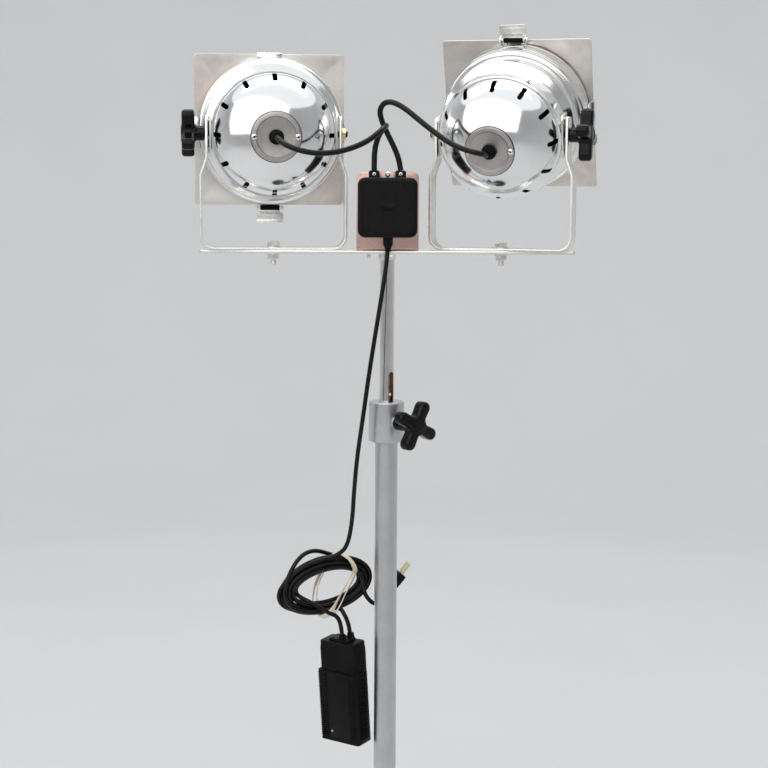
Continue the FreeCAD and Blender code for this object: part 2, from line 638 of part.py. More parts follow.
def make_yoke():
    """A flat bar bent round the head, its arms set in towards the head at the tilt axis."""
    half = YOKE_WIDTH / 2
    low = -PIVOT_RISE
    r = YOKE_CORNER
    t = YOKE_THICK

    def side_points(inset):
        x = half - inset
        return [V(x, 0, -50), V(x - YOKE_KINK, 0, -30), V(x - YOKE_KINK, 0, YOKE_TIP)]

    def mirror(p):
        return V(-p.x, p.y, p.z)

    def corner(inset):
        """The bend: start on the bottom, middle and end on the arm."""
        radius = r - inset
        centre = V(half - r, 0, low + r)
        mid = centre + V(radius * math.sin(math.pi / 4), 0, -radius * math.cos(math.pi / 4))
        return centre + V(0, 0, -radius), mid, centre + V(radius, 0, 0)

    edges = []
    for inset in (0, t):
        a, b, c = corner(inset)
        edges.append(Part.makeLine(mirror(a), a))
        edges.append(Part.Arc(a, b, c).toShape())
        edges.append(Part.Arc(mirror(a), mirror(b), mirror(c)).toShape())
        points = [c] + side_points(inset)
        for p, q in zip(points, points[1:]):
            edges.append(Part.makeLine(p, q))
            edges.append(Part.makeLine(mirror(p), mirror(q)))
    for sign in (-1, 1):
        tip = half - YOKE_KINK
        ends = V(sign * tip, 0, YOKE_TIP), V(sign * (tip - t), 0, YOKE_TIP)
        edges.append(Part.makeLine(*ends))
    face = Part.Face(Part.Wire(Part.__sortEdges__(edges)))
    face.translate(V(0, -YOKE_BAR / 2, 0))
    yoke = face.extrude(V(0, YOKE_BAR, 0))
    tips = [
        e for e in yoke.Edges
        if e.BoundBox.ZMin > YOKE_TIP - 0.1 and abs(e.BoundBox.XLength - t) < 0.01
    ]
    yoke = yoke.makeFillet(8.0, tips)
    yoke = yoke.cut(rod(M8_R + RUN_GAP, V(-100, 0, 0), V(100, 0, 0)))
    return yoke.cut(rod(M8_R + RUN_GAP, V(0, 0, low - 1), V(0, 0, low + 5)))


def make_head(name, side, yaw, pitch, roll):
    centre = V(side * HEAD_SPACING / 2, 0, BAR_TOP + PIVOT_RISE)

    def put(shape, tilted=True):
        if tilted:
            shape.rotate(V(0, 0, 0), Y_AXIS, roll)
            shape.rotate(V(0, 0, 0), X_AXIS, pitch)
        shape.rotate(V(0, 0, 0), Z_AXIS, yaw)
        shape.translate(centre)
        return shape

    def keep(node, *shapes, tilted=True):
        save(name + "_" + node, *[put(shape, tilted) for shape in shapes])

    keep("yoke", make_yoke(), tilted=False)
    keep("dome", make_dome())
    keep("can", make_can())
    keep("front_ring", make_front_ring())
    keep("latch", *make_latch())
    keep("colour_frame", make_colour_frame())
    keep("lens", make_lens())
    socket, lamp = make_lamp()
    keep("lamp_socket", socket)
    keep("lamp", lamp)
    cover, gland = make_back_cover()
    keep("back_cover", cover)
    keep("cord_gland", gland)
    plates, studs = make_pivots()
    keep("pivot_plates", *plates)
    keep("pivot_studs", *studs)
    arm = YOKE_WIDTH / 2 - YOKE_KINK
    knob = cross_knob(V(arm + 0.6, 0, 0), X_AXIS, 9.0, 12.0, bore=M8_R + RUN_GAP)
    keep("tilt_knob", knob)


# ---- cords, coil, dimmer and plug ----
def oval_ring(centre, yaw, long, high, bundle):
    """An oval coil's outer shape, upright and turned about Z."""
    wide, deep = bundle
    path = Part.Ellipse(V(0, 0, 0), long, high).toShape()
    section = Part.Ellipse(V(0, 0, 0), wide, deep).toShape()
    section.rotate(V(0, 0, 0), X_AXIS, 90)
    section.translate(V(long, 0, 0))
    ring = Part.Wire(path).makePipeShell([Part.Wire(section)], True, False)
    ring.rotate(V(0, 0, 0), X_AXIS, 90)
    ring.rotate(V(0, 0, 0), Z_AXIS, yaw)
    ring.translate(centre)
    return ring


def make_cords():
    for side, route in (("left", LEFT_LAMP_ROUTE), ("right", RIGHT_LAMP_ROUTE)):
        cut = LAMP_SPLIT[side]
        first = [V(*route[cut]), V(*route[cut + 1])]
        middle = (first[0] + first[1]) / 2
        save(side + "_cord_lower", cord_tube(route[:cut + 1] + [tuple(middle)], LAMP_CORD_R))
        save(side + "_cord_upper", cord_tube([tuple(middle)] + route[cut + 1:], LAMP_CORD_R))
    save("main_cord", cord_tube(MAIN_ROUTE, MAINS_CORD_R))
    save("dimmer_lead_in", cord_tube(LEAD_IN_ROUTE, MAINS_CORD_R))
    save("dimmer_lead_out", cord_tube(LEAD_OUT_ROUTE, MAINS_CORD_R))

    coil = oval_ring(COIL_CENTRE, COIL_YAW, COIL_LONG, COIL_HIGH, COIL_BUNDLE)
    coil = coil.fuse(cord_tube(LOOSE_LOOP, MAINS_CORD_R))
    if len(coil.Solids) != 1:
        raise RuntimeError("the loose loop misses the coil")
    save("cord_coil", coil.Solids[0])

    band = box(-3, 3, -14.5, 14.5, -41, 41).cut(box(-4, 4, -13.3, 13.3, -39.8, 39.8))
    band.rotate(V(0, 0, 0), Y_AXIS, 30)
    band.rotate(V(0, 0, 0), Z_AXIS, COIL_YAW)
    band.translate(COIL_CENTRE + V(6, 0, 0))
    save("rubber_band", band)


def make_dimmer():
    wide, deep, long = DIMMER_SIZE

    def put(shape):
        shape.rotate(V(0, 0, 0), X_AXIS, DIMMER_NOD)
        shape.rotate(V(0, 0, 0), Z_AXIS, DIMMER_YAW)
        shape.rotate(V(0, 0, 0), Y_AXIS, DIMMER_LEAN)
        shape.translate(DIMMER_TOP)
        return shape

    body = box(-wide / 2 + 3, wide / 2 - 3, -deep / 2 + 3, deep / 2 + 4, -long, 0)
    body = fillet_along(body, 4.0, Z_AXIS)
    save("dimmer_body", put(body))

    shell_top = -38.0
    gap = 0.4
    outer = box(-wide / 2, wide / 2, -deep / 2, deep / 2 - 2, -long + 1, shell_top)
    inner = box(-wide / 2 + 3 - gap, wide / 2 - 3 + gap, -deep / 2 + 3 - gap, deep, -long, 0)
    save("dimmer_slider", put(outer.cut(inner)))


def make_plug():
    """A flat two-blade plug behind the tube, its nose up and to the right."""
    outline = [V(-20, 0, -6), V(0, 0, -11), V(6, 0, -11), V(6, 0, 11), V(0, 0, 11), V(-20, 0, 6)]
    body = Part.Face(Part.makePolygon(outline + outline[:1])).extrude(V(0, 12, 0))
    body.translate(V(0, -6, 0))
    body = body.fuse(rod(3.6, V(-34, 0, 0), V(-18, 0, 0)))
    blades = []
    for z in (-6.35, 6.35):
        blades.append(box(6, 23, -0.75, 0.75, z - 3.1, z + 3.1).common(box(6, 22, -3, 3, -20, 20)))

    def put(shape):
        shape.rotate(V(0, 0, 0), X_AXIS, 90)
        shape.rotate(V(0, 0, 0), Y_AXIS, -52)
        shape.rotate(V(0, 0, 0), Z_AXIS, 12)
        shape.translate(V(16, 37, BAR_TOP - 418))
        return shape

    save("plug_body", put(body.removeSplitter()))
    save("plug_blades", *[put(blade) for blade in blades])


make_stand()
make_clamp_knob()
make_mast()
make_cross_bar()
make_bracket()
make_junction_box()
for head_name, place in HEADS.items():
    make_head(head_name, **place)
make_cords()
make_dimmer()
make_plug()
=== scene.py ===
from math import acos, copysign, cos, hypot, pi, radians, sin, sqrt, tan

import bpy
import bmesh
import numpy as np
from mathutils import Matrix, Vector

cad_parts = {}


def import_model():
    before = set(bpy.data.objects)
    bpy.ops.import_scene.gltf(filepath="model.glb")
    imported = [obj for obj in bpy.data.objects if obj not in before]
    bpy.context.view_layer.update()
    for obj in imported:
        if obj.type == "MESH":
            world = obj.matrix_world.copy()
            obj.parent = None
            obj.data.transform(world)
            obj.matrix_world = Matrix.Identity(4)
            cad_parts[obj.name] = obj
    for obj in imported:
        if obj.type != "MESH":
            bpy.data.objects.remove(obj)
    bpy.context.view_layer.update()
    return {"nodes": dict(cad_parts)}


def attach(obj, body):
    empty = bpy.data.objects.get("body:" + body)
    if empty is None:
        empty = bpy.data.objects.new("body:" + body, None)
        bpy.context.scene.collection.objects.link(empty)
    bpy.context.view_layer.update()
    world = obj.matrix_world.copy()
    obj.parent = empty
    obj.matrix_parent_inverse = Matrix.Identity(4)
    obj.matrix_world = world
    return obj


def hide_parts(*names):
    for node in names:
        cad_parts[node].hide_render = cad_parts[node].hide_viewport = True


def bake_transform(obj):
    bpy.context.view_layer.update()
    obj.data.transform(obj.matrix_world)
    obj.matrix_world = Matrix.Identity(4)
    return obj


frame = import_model()

# ---- the CAD model's own dimensions, in millimetres ----
BAR_TOP = 1200
PIVOT_RISE = 141
HEAD_SPACING = 280
HEADS = {
    "left": {"side": -1, "yaw": 6.5, "pitch": 4, "roll": 180},
    "right": {"side": 1, "yaw": -17, "pitch": 17, "roll": 0},
}
LEFT_LAMP_ROUTE = [
    (-16.4, -31, 97.4), (-16.6, -31, 113), (-15, -31, 128), (-10, -34, 141.5), (-3, -44, 149.5),
    (-1.5, -59, 151), (-9, -72, 143.5), (-23, -82, 132), (-41, -90, 123.5), (-61, -97, 118),
    (-81, -103, 116.5), (-99, -107, 119), (-113, -107, 123.5), (-124, -101, 129),
    (-130.1, -86.5, 134.9),
]
RIGHT_LAMP_ROUTE = [
    (15.5, -31, 97.5), (13.5, -31, 111), (6.5, -31, 127), (-1.5, -31, 143), (-8, -33, 157),
    (-10.5, -38, 169), (-5, -44, 178), (6, -50, 178.5), (21, -57, 170), (37.5, -66, 156),
    (55.5, -76, 141.5), (73.5, -87, 129), (89, -97, 122), (102, -102, 118.5), (111.5, -96, 116.5),
    (115.6, -79.8, 115.5),
]
LAMP_SPLIT = {"left": 9, "right": 10}
MAIN_ROUTE = [
    (0.6, -32, 6), (-0.6, -32, -14), (-7, -32, -56), (-14, -31, -100), (-22, -29, -152),
    (-29, -23, -205), (-36, -14, -254), (-40, -6, -300), (-42, 1, -338), (-48, 8, -372),
]
LEAD_IN_ROUTE = [(-60, 1, -461), (-55, 3, -477), (-54.3, 6.5, -494)]
LEAD_OUT_ROUTE = [(-43.6, 11.5, -494), (-45.4, 6, -475), (-51, 3, -460)]
LAMP_CORD = 0.0068
MAINS_CORD = 0.0055
COIL_CENTRE = Vector((-75, 14, -424))
COIL_YAW = radians(27)
COIL_LONG = 52
COIL_HIGH = 26
COIL_SLOPE = 0.1

MM = Matrix.Scale(0.001, 4)
TAU = 2 * pi
ROOT_3 = sqrt(3)


def world(point):
    """A point given from the bar's top face, in millimetres, in the row frame."""
    return Vector((point[0], point[1], point[2] + BAR_TOP)) * 0.001


def shift(x, y, z):
    return Matrix.Translation(Vector((x, y, z)))


def turn(degrees, axis):
    return Matrix.Rotation(radians(degrees), 4, axis)


def add_object(name, data):
    made = bpy.data.objects.new(name, data)
    bpy.context.scene.collection.objects.link(made)
    return made


# ---- camera ----
def look_matrix(place, pitch, roll):
    """Camera at a place, looking along +Y, pitched down and rolled, in degrees."""
    return Matrix.Translation(place) @ turn(90 - pitch, "X") @ turn(roll, "Z")


camera = add_object("camera", bpy.data.cameras.new("camera"))
camera.data.sensor_width = 36
camera.data.lens = 84.375
camera.matrix_world = look_matrix((-0.0033, -2.217, 1.2986), 6.8, 0.3)
bpy.context.scene.camera = camera


# ---- materials ----
class Surface:
    """A Principled material with a few shortcuts for procedural detail."""

    def __init__(self, name, **values):
        self.material = bpy.data.materials.new(name)
        self.material.use_nodes = True
        self.tree = self.material.node_tree
        self.shader = self.tree.nodes["Principled BSDF"]
        for socket, value in values.items():
            self.shader.inputs[socket.replace("_", " ")].default_value = value
        self.coords = self.node("ShaderNodeTexCoord").outputs["Object"]

    def node(self, kind):
        return self.tree.nodes.new(kind)

    def link(self, start, end):
        self.tree.links.new(start, end)

    def stretched(self, scale):
        """Object coordinates, scaled differently along each axis."""
        mapping = self.node("ShaderNodeMapping")
        mapping.inputs["Scale"].default_value = scale
        self.link(self.coords, mapping.inputs["Vector"])
        return mapping.outputs["Vector"]

    def noise(self, scale, detail=4, rough=0.55, vector=None, warp=0):
        texture = self.node("ShaderNodeTexNoise")
        texture.inputs["Scale"].default_value = scale
        texture.inputs["Detail"].default_value = detail
        texture.inputs["Roughness"].default_value = rough
        texture.inputs["Distortion"].default_value = warp
        self.link(vector or self.coords, texture.inputs["Vector"])
        return texture.outputs["Fac"]

    def ramp(self, factor, stops, socket):
        """Colours along a factor, sent to one of the shader's sockets."""
        ramp = self.node("ShaderNodeValToRGB")
        elements = ramp.color_ramp.elements
        while len(elements) < len(stops):
            elements.new(0.5)
        for element, (place, colour) in zip(elements, stops):
            element.position = place
            shade = colour if isinstance(colour, tuple) else (colour,) * 3
            element.color = (*shade, 1)
        self.link(factor, ramp.inputs["Fac"])
        self.link(ramp.outputs["Color"], self.shader.inputs[socket])

    def range(self, factor, low, high, socket, start=0.3, end=0.7):
        """A factor mapped to low..high, sent to one of the shader's sockets."""
        mapped = self.node("ShaderNodeMapRange")
        ends = {"From Min": start, "From Max": end, "To Min": low, "To Max": high}
        for key, value in ends.items():
            mapped.inputs[key].default_value = value
        self.link(factor, mapped.inputs["Value"])
        self.link(mapped.outputs["Result"], self.shader.inputs[socket])

    def bump(self, height, strength, distance=0.0002):
        bump = self.node("ShaderNodeBump")
        bump.inputs["Strength"].default_value = strength
        bump.inputs["Distance"].default_value = distance
        self.link(height, bump.inputs["Height"])
        self.link(bump.outputs["Normal"], self.shader.inputs["Normal"])


def metal(name, dark, light, rough, patch=18, grain=(1, 1, 1), grain_scale=900, bump=0.05):
    """Bare or plated metal: patchy tone, uneven gloss and a fine grain."""
    made = Surface(name, Metallic=1)
    patches = made.noise(patch, 6, 0.6, warp=0.6)
    made.ramp(patches, [(0.3, dark), (0.7, light)], "Base Color")
    streaks = made.noise(grain_scale, 3, 0.6, made.stretched(grain))
    made.range(streaks, rough[0], rough[1], "Roughness")
    made.bump(streaks, bump)
    return made.material


def moulded(name, dark, light, rough, grain=1500, bump=0.12, coat=0, shine=0.08):
    """Moulded plastic or rubber: near-black with a fine texture and handling marks."""
    made = Surface(name, Coat_Weight=coat, Coat_Roughness=0.15, Specular_IOR_Level=shine)
    patches = made.noise(35, 5, 0.6, warp=0.4)
    made.ramp(patches, [(0.3, dark), (0.72, light)], "Base Color")
    fine = made.noise(grain, 2, 0.5)
    made.range(made.noise(60, 6, 0.65), rough[0], rough[1], "Roughness")
    made.bump(fine, bump, 0.0001)
    return made.material


MIRROR = metal("polished_aluminium", (0.86, 0.87, 0.88), (0.93, 0.935, 0.94), (0.085, 0.15), 9,
               (1, 5, 1), 260, 0.012)
SHELL = metal("spun_aluminium", (0.80, 0.80, 0.79), (0.92, 0.92, 0.91), (0.10, 0.20), 14,
              (1, 14, 1), 420, 0.04)
PLAIN = metal("sheet_aluminium", (0.60, 0.56, 0.52), (0.80, 0.77, 0.72), (0.30, 0.46), 9,
              (1, 1, 6), 500, 0.05)
COVER = metal("cover_aluminium", (0.40, 0.37, 0.36), (0.56, 0.53, 0.51), (0.32, 0.48), 30,
              (1, 1, 1), 700, 0.06)
ZINC = metal("zinc_plate", (0.76, 0.76, 0.72), (0.92, 0.92, 0.88), (0.22, 0.38), 40,
             (1, 1, 1), 900, 0.05)
BAR = metal("bar_zinc", (0.80, 0.80, 0.74), (0.93, 0.93, 0.88), (0.28, 0.42), 20,
            (8, 1, 1), 500, 0.04)
BRACKET = metal("bracket_zinc", (0.58, 0.38, 0.33), (0.74, 0.52, 0.46), (0.24, 0.36), 26,
                (1, 1, 12), 300, 0.05)
CHROME = metal("chrome", (0.70, 0.69, 0.67), (0.80, 0.79, 0.78), (0.05, 0.12), 30,
               (12, 12, 1), 400, 0.02)
STAND = metal("silver_lacquer", (0.56, 0.57, 0.59), (0.64, 0.65, 0.67), (0.34, 0.42), 30,
              (1, 1, 1), 2200, 0.06)
BRASS = metal("yellow_zinc", (0.62, 0.54, 0.28), (0.80, 0.72, 0.44), (0.24, 0.4), 60)
BLACK_STEEL = moulded("black_steel", 0.006, (0.012, 0.012, 0.013), (0.38, 0.52), 2500, 0.35)
PLASTIC = moulded("black_plastic", 0.003, (0.006, 0.006, 0.007), (0.26, 0.40), 1500, 0.12,
                  shine=0.14)
GLOSS = moulded("gloss_black", 0.002, 0.005, (0.10, 0.18), 300, 0.02, coat=0.22, shine=0.1)
RUBBER = moulded("rubber", 0.006, 0.012, (0.5, 0.7))
CORD = moulded("cord_sheath", 0.003, 0.006, (0.20, 0.30), 900, 0.1, shine=0.25)
BAND = moulded("rubber_band", (0.74, 0.58, 0.40), (0.93, 0.87, 0.76), (0.5, 0.7), 1200, 0.15)
GREY_PLASTIC = moulded("grey_plastic", (0.42, 0.42, 0.40), (0.52, 0.52, 0.50), (0.4, 0.55))
CERAMIC = moulded("ceramic", (0.66, 0.63, 0.56), (0.80, 0.77, 0.70), (0.30, 0.45))


def glass(name, rough, tint):
    made = Surface(name, Transmission_Weight=1, IOR=1.5, Roughness=rough)
    made.ramp(made.noise(20), [(0.3, tint), (0.7, (0.98, 0.99, 0.99))], "Base Color")
    made.bump(made.noise(400, 2), 0.02)
    return made.material


def stained_sheet():
    """Old rolled sheet: warm grey, with pinkish and pale blotches and uneven gloss."""
    made = Surface("stained_sheet", Metallic=1)
    blotches = made.noise(8, 7, 0.62, warp=0.9)
    made.ramp(blotches, [(0.30, (0.62, 0.48, 0.43)), (0.44, (0.68, 0.63, 0.58)),
                         (0.68, (0.88, 0.85, 0.80))], "Base Color")
    made.range(made.noise(40, 6, 0.7, warp=0.5), 0.28, 0.50, "Roughness")
    made.bump(made.noise(500, 3, 0.6), 0.05)
    return made.material


STAINED = stained_sheet()
# Painted shade: a near-black rough metal for the dome's inner skin, the cut walls of its slots and
# the outer skin of the bowl round the bulb, so that the slots read dark.
PAINTED_SHADE_INSIDE = metal("inside_painted_shade", (0.05, 0.04, 0.035), (0.10, 0.085, 0.07), (0.5, 0.7), 20)
LENS = glass("lens_glass", 0.03, (0.93, 0.97, 0.96))
BULB = glass("bulb_glass", 0.01, (0.97, 0.98, 0.98))
SLOT_MATERIALS = {
    "painted_tube": STAND, "black_steel": BLACK_STEEL, "rubber": RUBBER, "cord": CORD,
    "band": BAND, "zinc": ZINC, "chrome": CHROME, "plastic": PLASTIC, "gloss_black": GLOSS,
    "grey_plastic": GREY_PLASTIC, "bar_metal": BAR, "bracket_metal": BRACKET,
    "mirror_aluminium": MIRROR, "shell_aluminium": SHELL, "plain_aluminium": PLAIN,
    "glass": LENS, "ceramic": CERAMIC, "brass": BRASS,
}
for node in frame["nodes"].values():
    for holder in node.material_slots:
        holder.material = SLOT_MATERIALS[holder.material.name.split(".")[0]]


# ---- cords ----
def nurbs(name, points, radius):
    """A smooth curve with the route's points as its control points, in metres."""
    data = bpy.data.curves.new(name, "CURVE")
    data.dimensions = "3D"
    spline = data.splines.new("NURBS")
    spline.points.add(len(points) - 1)
    for target, point in zip(spline.points, points):
        target.co = (*point, 1)
    spline.order_u = 3
    spline.use_endpoint_u = True
    data.resolution_u = 10
    data.bevel_depth = radius
    data.bevel_resolution = 6
    data.use_fill_caps = True
    return add_object(name, data)


def traced(points):
    """The points along the smooth curve of a route."""
    probe = nurbs("probe", points, 0)
    bpy.context.view_layer.update()
    seen = probe.evaluated_get(bpy.context.evaluated_depsgraph_get())
    mesh = bpy.data.meshes.new_from_object(seen)
    line = [v.co.copy() for v in mesh.vertices]
    bpy.data.objects.remove(probe)
    bpy.data.meshes.remove(mesh)
    return line


def run_length(line):
    return sum((b - a).length for a, b in zip(line, line[1:]))


def coil_point(turn, grow, depth, lift=0):
    """A point on the coil: turn counts from its right end over the top, in whole turns."""
    angle = TAU * turn
    along = (COIL_LONG + grow) * cos(angle)
    up = (COIL_HIGH + grow) * sin(angle) + lift + COIL_SLOPE * along
    back = Vector((-sin(COIL_YAW), cos(COIL_YAW), 0)) * depth
    return COIL_CENTRE + Vector((along * cos(COIL_YAW), along * sin(COIL_YAW), up)) + back


def between(table, place):
    """Straight interpolation in rows of (place, values...)."""
    columns = list(zip(*table))
    return [float(np.interp(place, columns[0], column)) for column in columns[1:]]


def coil_run(first, last, table, per_turn=14):
    """Points round the coil. The table gives (turn, growth, depth, lift) on the way."""
    steps = max(2, round(abs(last - first) * per_turn))
    run = []
    for n in range(steps + 1):
        turn = first + (last - first) * n / steps
        run.append(coil_point(turn, *between(table, turn)))
    return run


CORD_1_COIL = [  # turn, growth, depth, lift
    (0.27, 9.6, 4, 0), (1, 9.6, 4, 0), (1.45, 3.3, 4.8, 0), (2, 3.3, 4, 0),
    (2.45, -3, 4.6, 0), (3, -3, 4, 0), (3.45, -9.4, 3, 0), (3.62, -9.6, -3, 0),
    (3.67, -6, -11.5, 0), (3.71, 0, -15.6, 0), (3.74, 6, -16, 0),
]
CORD_2_COIL = [
    (0.97, -3, -7, 0), (1.1, -3, -4, 0), (1.55, -3, -4, 0), (2, 3.3, -4, 0),
    (2.55, 3.3, -4, 0), (3, 9.6, -4, 0), (3.25, 9.6, -4, 0), (3.42, 12.5, -4, 0),
    (3.52, 15.5, 3, 0), (3.62, 10, 10, 0), (3.75, 6.5, 10.5, 0), (4, 6.5, 10.5, 0),
    (4.20, 7, 10.5, 0), (4.27, 9.6, 9, 8), (4.31, 9.6, 3, 20), (4.35, 9.6, -3, 19),
    (4.40, 9.6, -4, 10), (4.45, 10, -5, 4), (4.5, 10, -8, 0),
    (4.62, 7, -10.2, 0), (4.79, 3, -10.2, 0),
]
PLUG_ROUTE = [(-27, 24, -436), (-22, 24, -444), (-15, 26, -451), (-8, 30, -450),
              (-4.5, 32.65, -444.8)]

first_run = [Vector(p) for p in MAIN_ROUTE + [(-59, 13, -384), (-70, 14, -388)]]
first_run += coil_run(0.27, 3.74, CORD_1_COIL)
first_run += [Vector(p) for p in LEAD_IN_ROUTE]
second_run = [Vector(p) for p in LEAD_OUT_ROUTE]
second_run += coil_run(4.79, 0.97, CORD_2_COIL)
second_run += [Vector(p) for p in PLUG_ROUTE]

cord_lengths = {}
for cord_name, run in (("mains_cord_to_dimmer", first_run), ("mains_cord_to_plug", second_run)):
    points = [world(p) for p in run]
    made = nurbs(cord_name, points, MAINS_CORD / 2)
    made.data.materials.append(CORD)
    cord_lengths[cord_name] = run_length(traced(points))
    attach(made, "mast")
print("CORDS", {name: round(value, 3) for name, value in cord_lengths.items()})


# ---- mesh helpers: shapes are built in millimetres and placed by a matrix ----
class Shape:
    """Vertices and faces gathered from lofts."""

    def __init__(self):
        self.points = []
        self.faces = []

    def loft(self, loops, ring=False, caps=(True, True), place=None):
        """Skin over loops of equal length; ring joins the last loop to the first."""
        base = len(self.points)
        count = len(loops[0])
        for loop in loops:
            self.points += [place @ Vector(p) if place else Vector(p) for p in loop]
        rows = len(loops) if ring else len(loops) - 1
        for i in range(rows):
            a = base + i * count
            b = base + (i + 1) % len(loops) * count
            for j in range(count):
                k = (j + 1) % count
                self.faces.append((a + j, a + k, b + k, b + j))
        if not ring and caps[0]:
            self.faces.append(tuple(base + j for j in reversed(range(count))))
        if not ring and caps[1]:
            self.faces.append(tuple(base + rows * count + j for j in range(count)))
        return self

    def turned(self, profile, count, place=None, ring=False, axis="Z"):
        """Skin over (station, radius) points spun round an axis."""
        return self.loft(lathe(profile, count, axis), ring, place=place)

    def stack(self, outline, levels, place=None, axis="Z", at=(0, 0)):
        """Skin over copies of an outline round a point, one for each (height, inset) level."""
        loops = []
        for height, pull in levels:
            ring = [(u + at[0], v + at[1]) for u, v in inset(outline, pull)]
            loops.append(raised(ring, height, axis))
        return self.loft(loops, place=place)


def raised(outline, height, axis):
    """A flat outline set at a height along an axis."""
    if axis == "Z":
        return [(u, v, height) for u, v in outline]
    if axis == "Y":
        return [(u, height, v) for u, v in outline]
    return [(height, u, v) for u, v in outline]


def moved(start, profile):
    """Points whose first number is counted from a start."""
    return [(start + first, second) for first, second in profile]


def circle(radius, count, start=0, x=0):
    """Points round a circle; six of them make a hexagon."""
    angles = [TAU * n / count + start for n in range(count)]
    return [(x + radius * cos(a), radius * sin(a)) for a in angles]


def rounded(corners, radius, steps=5):
    """A closed outline with each corner rounded; a corner may carry its own radius."""
    outline = []
    count = len(corners)
    for n, corner in enumerate(corners):
        here = Vector(corner[:2])
        size = corner[2] if len(corner) > 2 else radius
        back = (Vector(corners[n - 1][:2]) - here).normalized()
        ahead = (Vector(corners[(n + 1) % count][:2]) - here).normalized()
        half = acos(max(-1, min(1, back.dot(ahead)))) / 2
        if size <= 0 or half > 1.55:
            outline.append(tuple(here))
            continue
        reach = size / tan(half)
        middle = here + (back + ahead).normalized() * (size / sin(half))
        start = here + back * reach - middle
        turn = pi - 2 * half
        sign = 1 if back.x * ahead.y - back.y * ahead.x < 0 else -1
        for k in range(steps + 1):
            angle = sign * turn * k / steps
            c, s = cos(angle), sin(angle)
            outline.append((middle.x + start.x * c - start.y * s,
                            middle.y + start.x * s + start.y * c))
    return outline


def rectangle(wide, high, radius, steps=6):
    w, h = wide / 2, high / 2
    return rounded([(-w, -h), (w, -h), (w, h), (-w, h)], radius, steps)


def inset(outline, distance):
    """An outline moved inwards; outlines run anticlockwise."""
    moved = []
    count = len(outline)
    for n in range(count):
        before, here, after = (Vector(outline[(n + k) % count]) for k in (-1, 0, 1))
        one = (here - before).normalized()
        two = (after - here).normalized()
        side = Vector((-one.y - two.y, one.x + two.x))
        moved.append(tuple(here + side * (distance / max(0.4, 1 + one.dot(two)))))
    return moved


def lathe(profile, count, axis):
    """Loops round an axis from an outline of (station, radius) points."""
    return [raised(circle(radius, count), station, axis) for station, radius in profile]


def slab(outline, low, high, edge=0.5, axis="Z"):
    """Loops of a plate with its edges eased, between two heights along an axis."""
    step = edge * 0.3
    levels = [(low, edge), (low + step, step), (low + edge, 0),
              (high - edge, 0), (high - step, step), (high, edge)]
    return [raised(inset(outline, pull), height, axis) for height, pull in levels]


def strip(path, wide, thick, tips=(0, 0), edge=0.4):
    """Loops of a bent flat bar. The path lies in (u, v); the bar's width is along w.
    tips are the corner radii of its two ends."""
    line = [Vector(p) for p in path]
    runs = [0]
    for a, b in zip(line, line[1:]):
        runs.append(runs[-1] + (b - a).length)
    total = runs[-1]
    stations = []
    for n, point in enumerate(line):
        before = line[max(n - 1, 0)]
        after = line[min(n + 1, len(line) - 1)]
        stations.append((point, (after - before).normalized(), runs[n]))
    extra = []
    for end, tip in ((0, tips[0]), (1, tips[1])):
        if tip:
            here, tangent, _ = stations[-end]
            for k in range(1, 7):
                away = tip * (1 - cos(pi / 2 * k / 7))
                place = away if end == 0 else total - away
                if 0 < place < total:
                    extra.append((here + tangent * (away if end == 0 else -away), tangent, place))
    stations = sorted(stations + extra, key=lambda s: s[2])
    loops = []
    for point, tangent, run in stations:
        half = wide / 2
        for away, tip in ((run, tips[0]), (total - run, tips[1])):
            if tip and away < tip:
                half = min(half, wide / 2 - tip + sqrt(max(0, tip ** 2 - (tip - away) ** 2)))
        normal = Vector((-tangent.y, tangent.x))
        section = rectangle(thick, 2 * max(half, edge), edge, 2)
        loops.append([(point.x + normal.x * a, point.y + normal.y * a, b) for a, b in section])
    return loops


def smooth_path(points, radius, steps=8):
    """An open path with its inner corners rounded by the given radius."""
    out = [tuple(points[0][:2])]
    for before, here, after in zip(points, points[1:], points[2:]):
        size = here[2] if len(here) > 2 else radius
        out += rounded([(*before[:2], 0), (*here[:2], size), (*after[:2], 0)], 0, steps)[1:-1]
    out.append(tuple(points[-1][:2]))
    return out


def axes(u, v, w, origin=(0, 0, 0)):
    """A matrix that sends the first three axes to the given directions."""
    made = Matrix((u, v, w)).transposed().to_4x4()
    made.translation = Vector(origin)
    return made


XZ = axes((1, 0, 0), (0, 0, 1), (0, 1, 0))
YZ = axes((0, 1, 0), (0, 0, 1), (1, 0, 0))
REARWARD = axes((1, 0, 0), (0, 0, 1), (0, -1, 0))


def piece(name, shape, material, body, stands_for="", place=None, slot=None, angle=32):
    """A finished piece from a shape in millimetres. stands_for holds the names of the CAD nodes
    that it replaces. slot is not used."""
    mesh = bpy.data.meshes.new(name)
    mesh.from_pydata(shape.points, [], shape.faces)
    made = bmesh.new()
    made.from_mesh(mesh)
    bmesh.ops.remove_doubles(made, verts=made.verts, dist=0.0005)
    bmesh.ops.dissolve_degenerate(made, edges=made.edges, dist=0.0005)
    bmesh.ops.recalc_face_normals(made, faces=made.faces)
    made.to_mesh(mesh)
    made.free()
    if place:
        mesh.transform(place)
    mesh.transform(MM)
    mesh.polygons.foreach_set("use_smooth", [True] * len(mesh.polygons))
    mesh.set_sharp_from_angle(angle=radians(angle))
    mesh.materials.append(material)
    made = add_object(name, mesh)
    if body:
        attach(made, body)
    if stands_for:
        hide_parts(*stands_for.split())
    return made


def head_piece(head, part, shape, material, place, stands_for="", **rest):
    """A piece on a lamp head; its name and its CAD node's name start with the head's."""
    node = f"{head}_{stands_for}" if stands_for else ""
    return piece(f"{head}_{part}", shape, material, head + "_head", node, place, **rest)


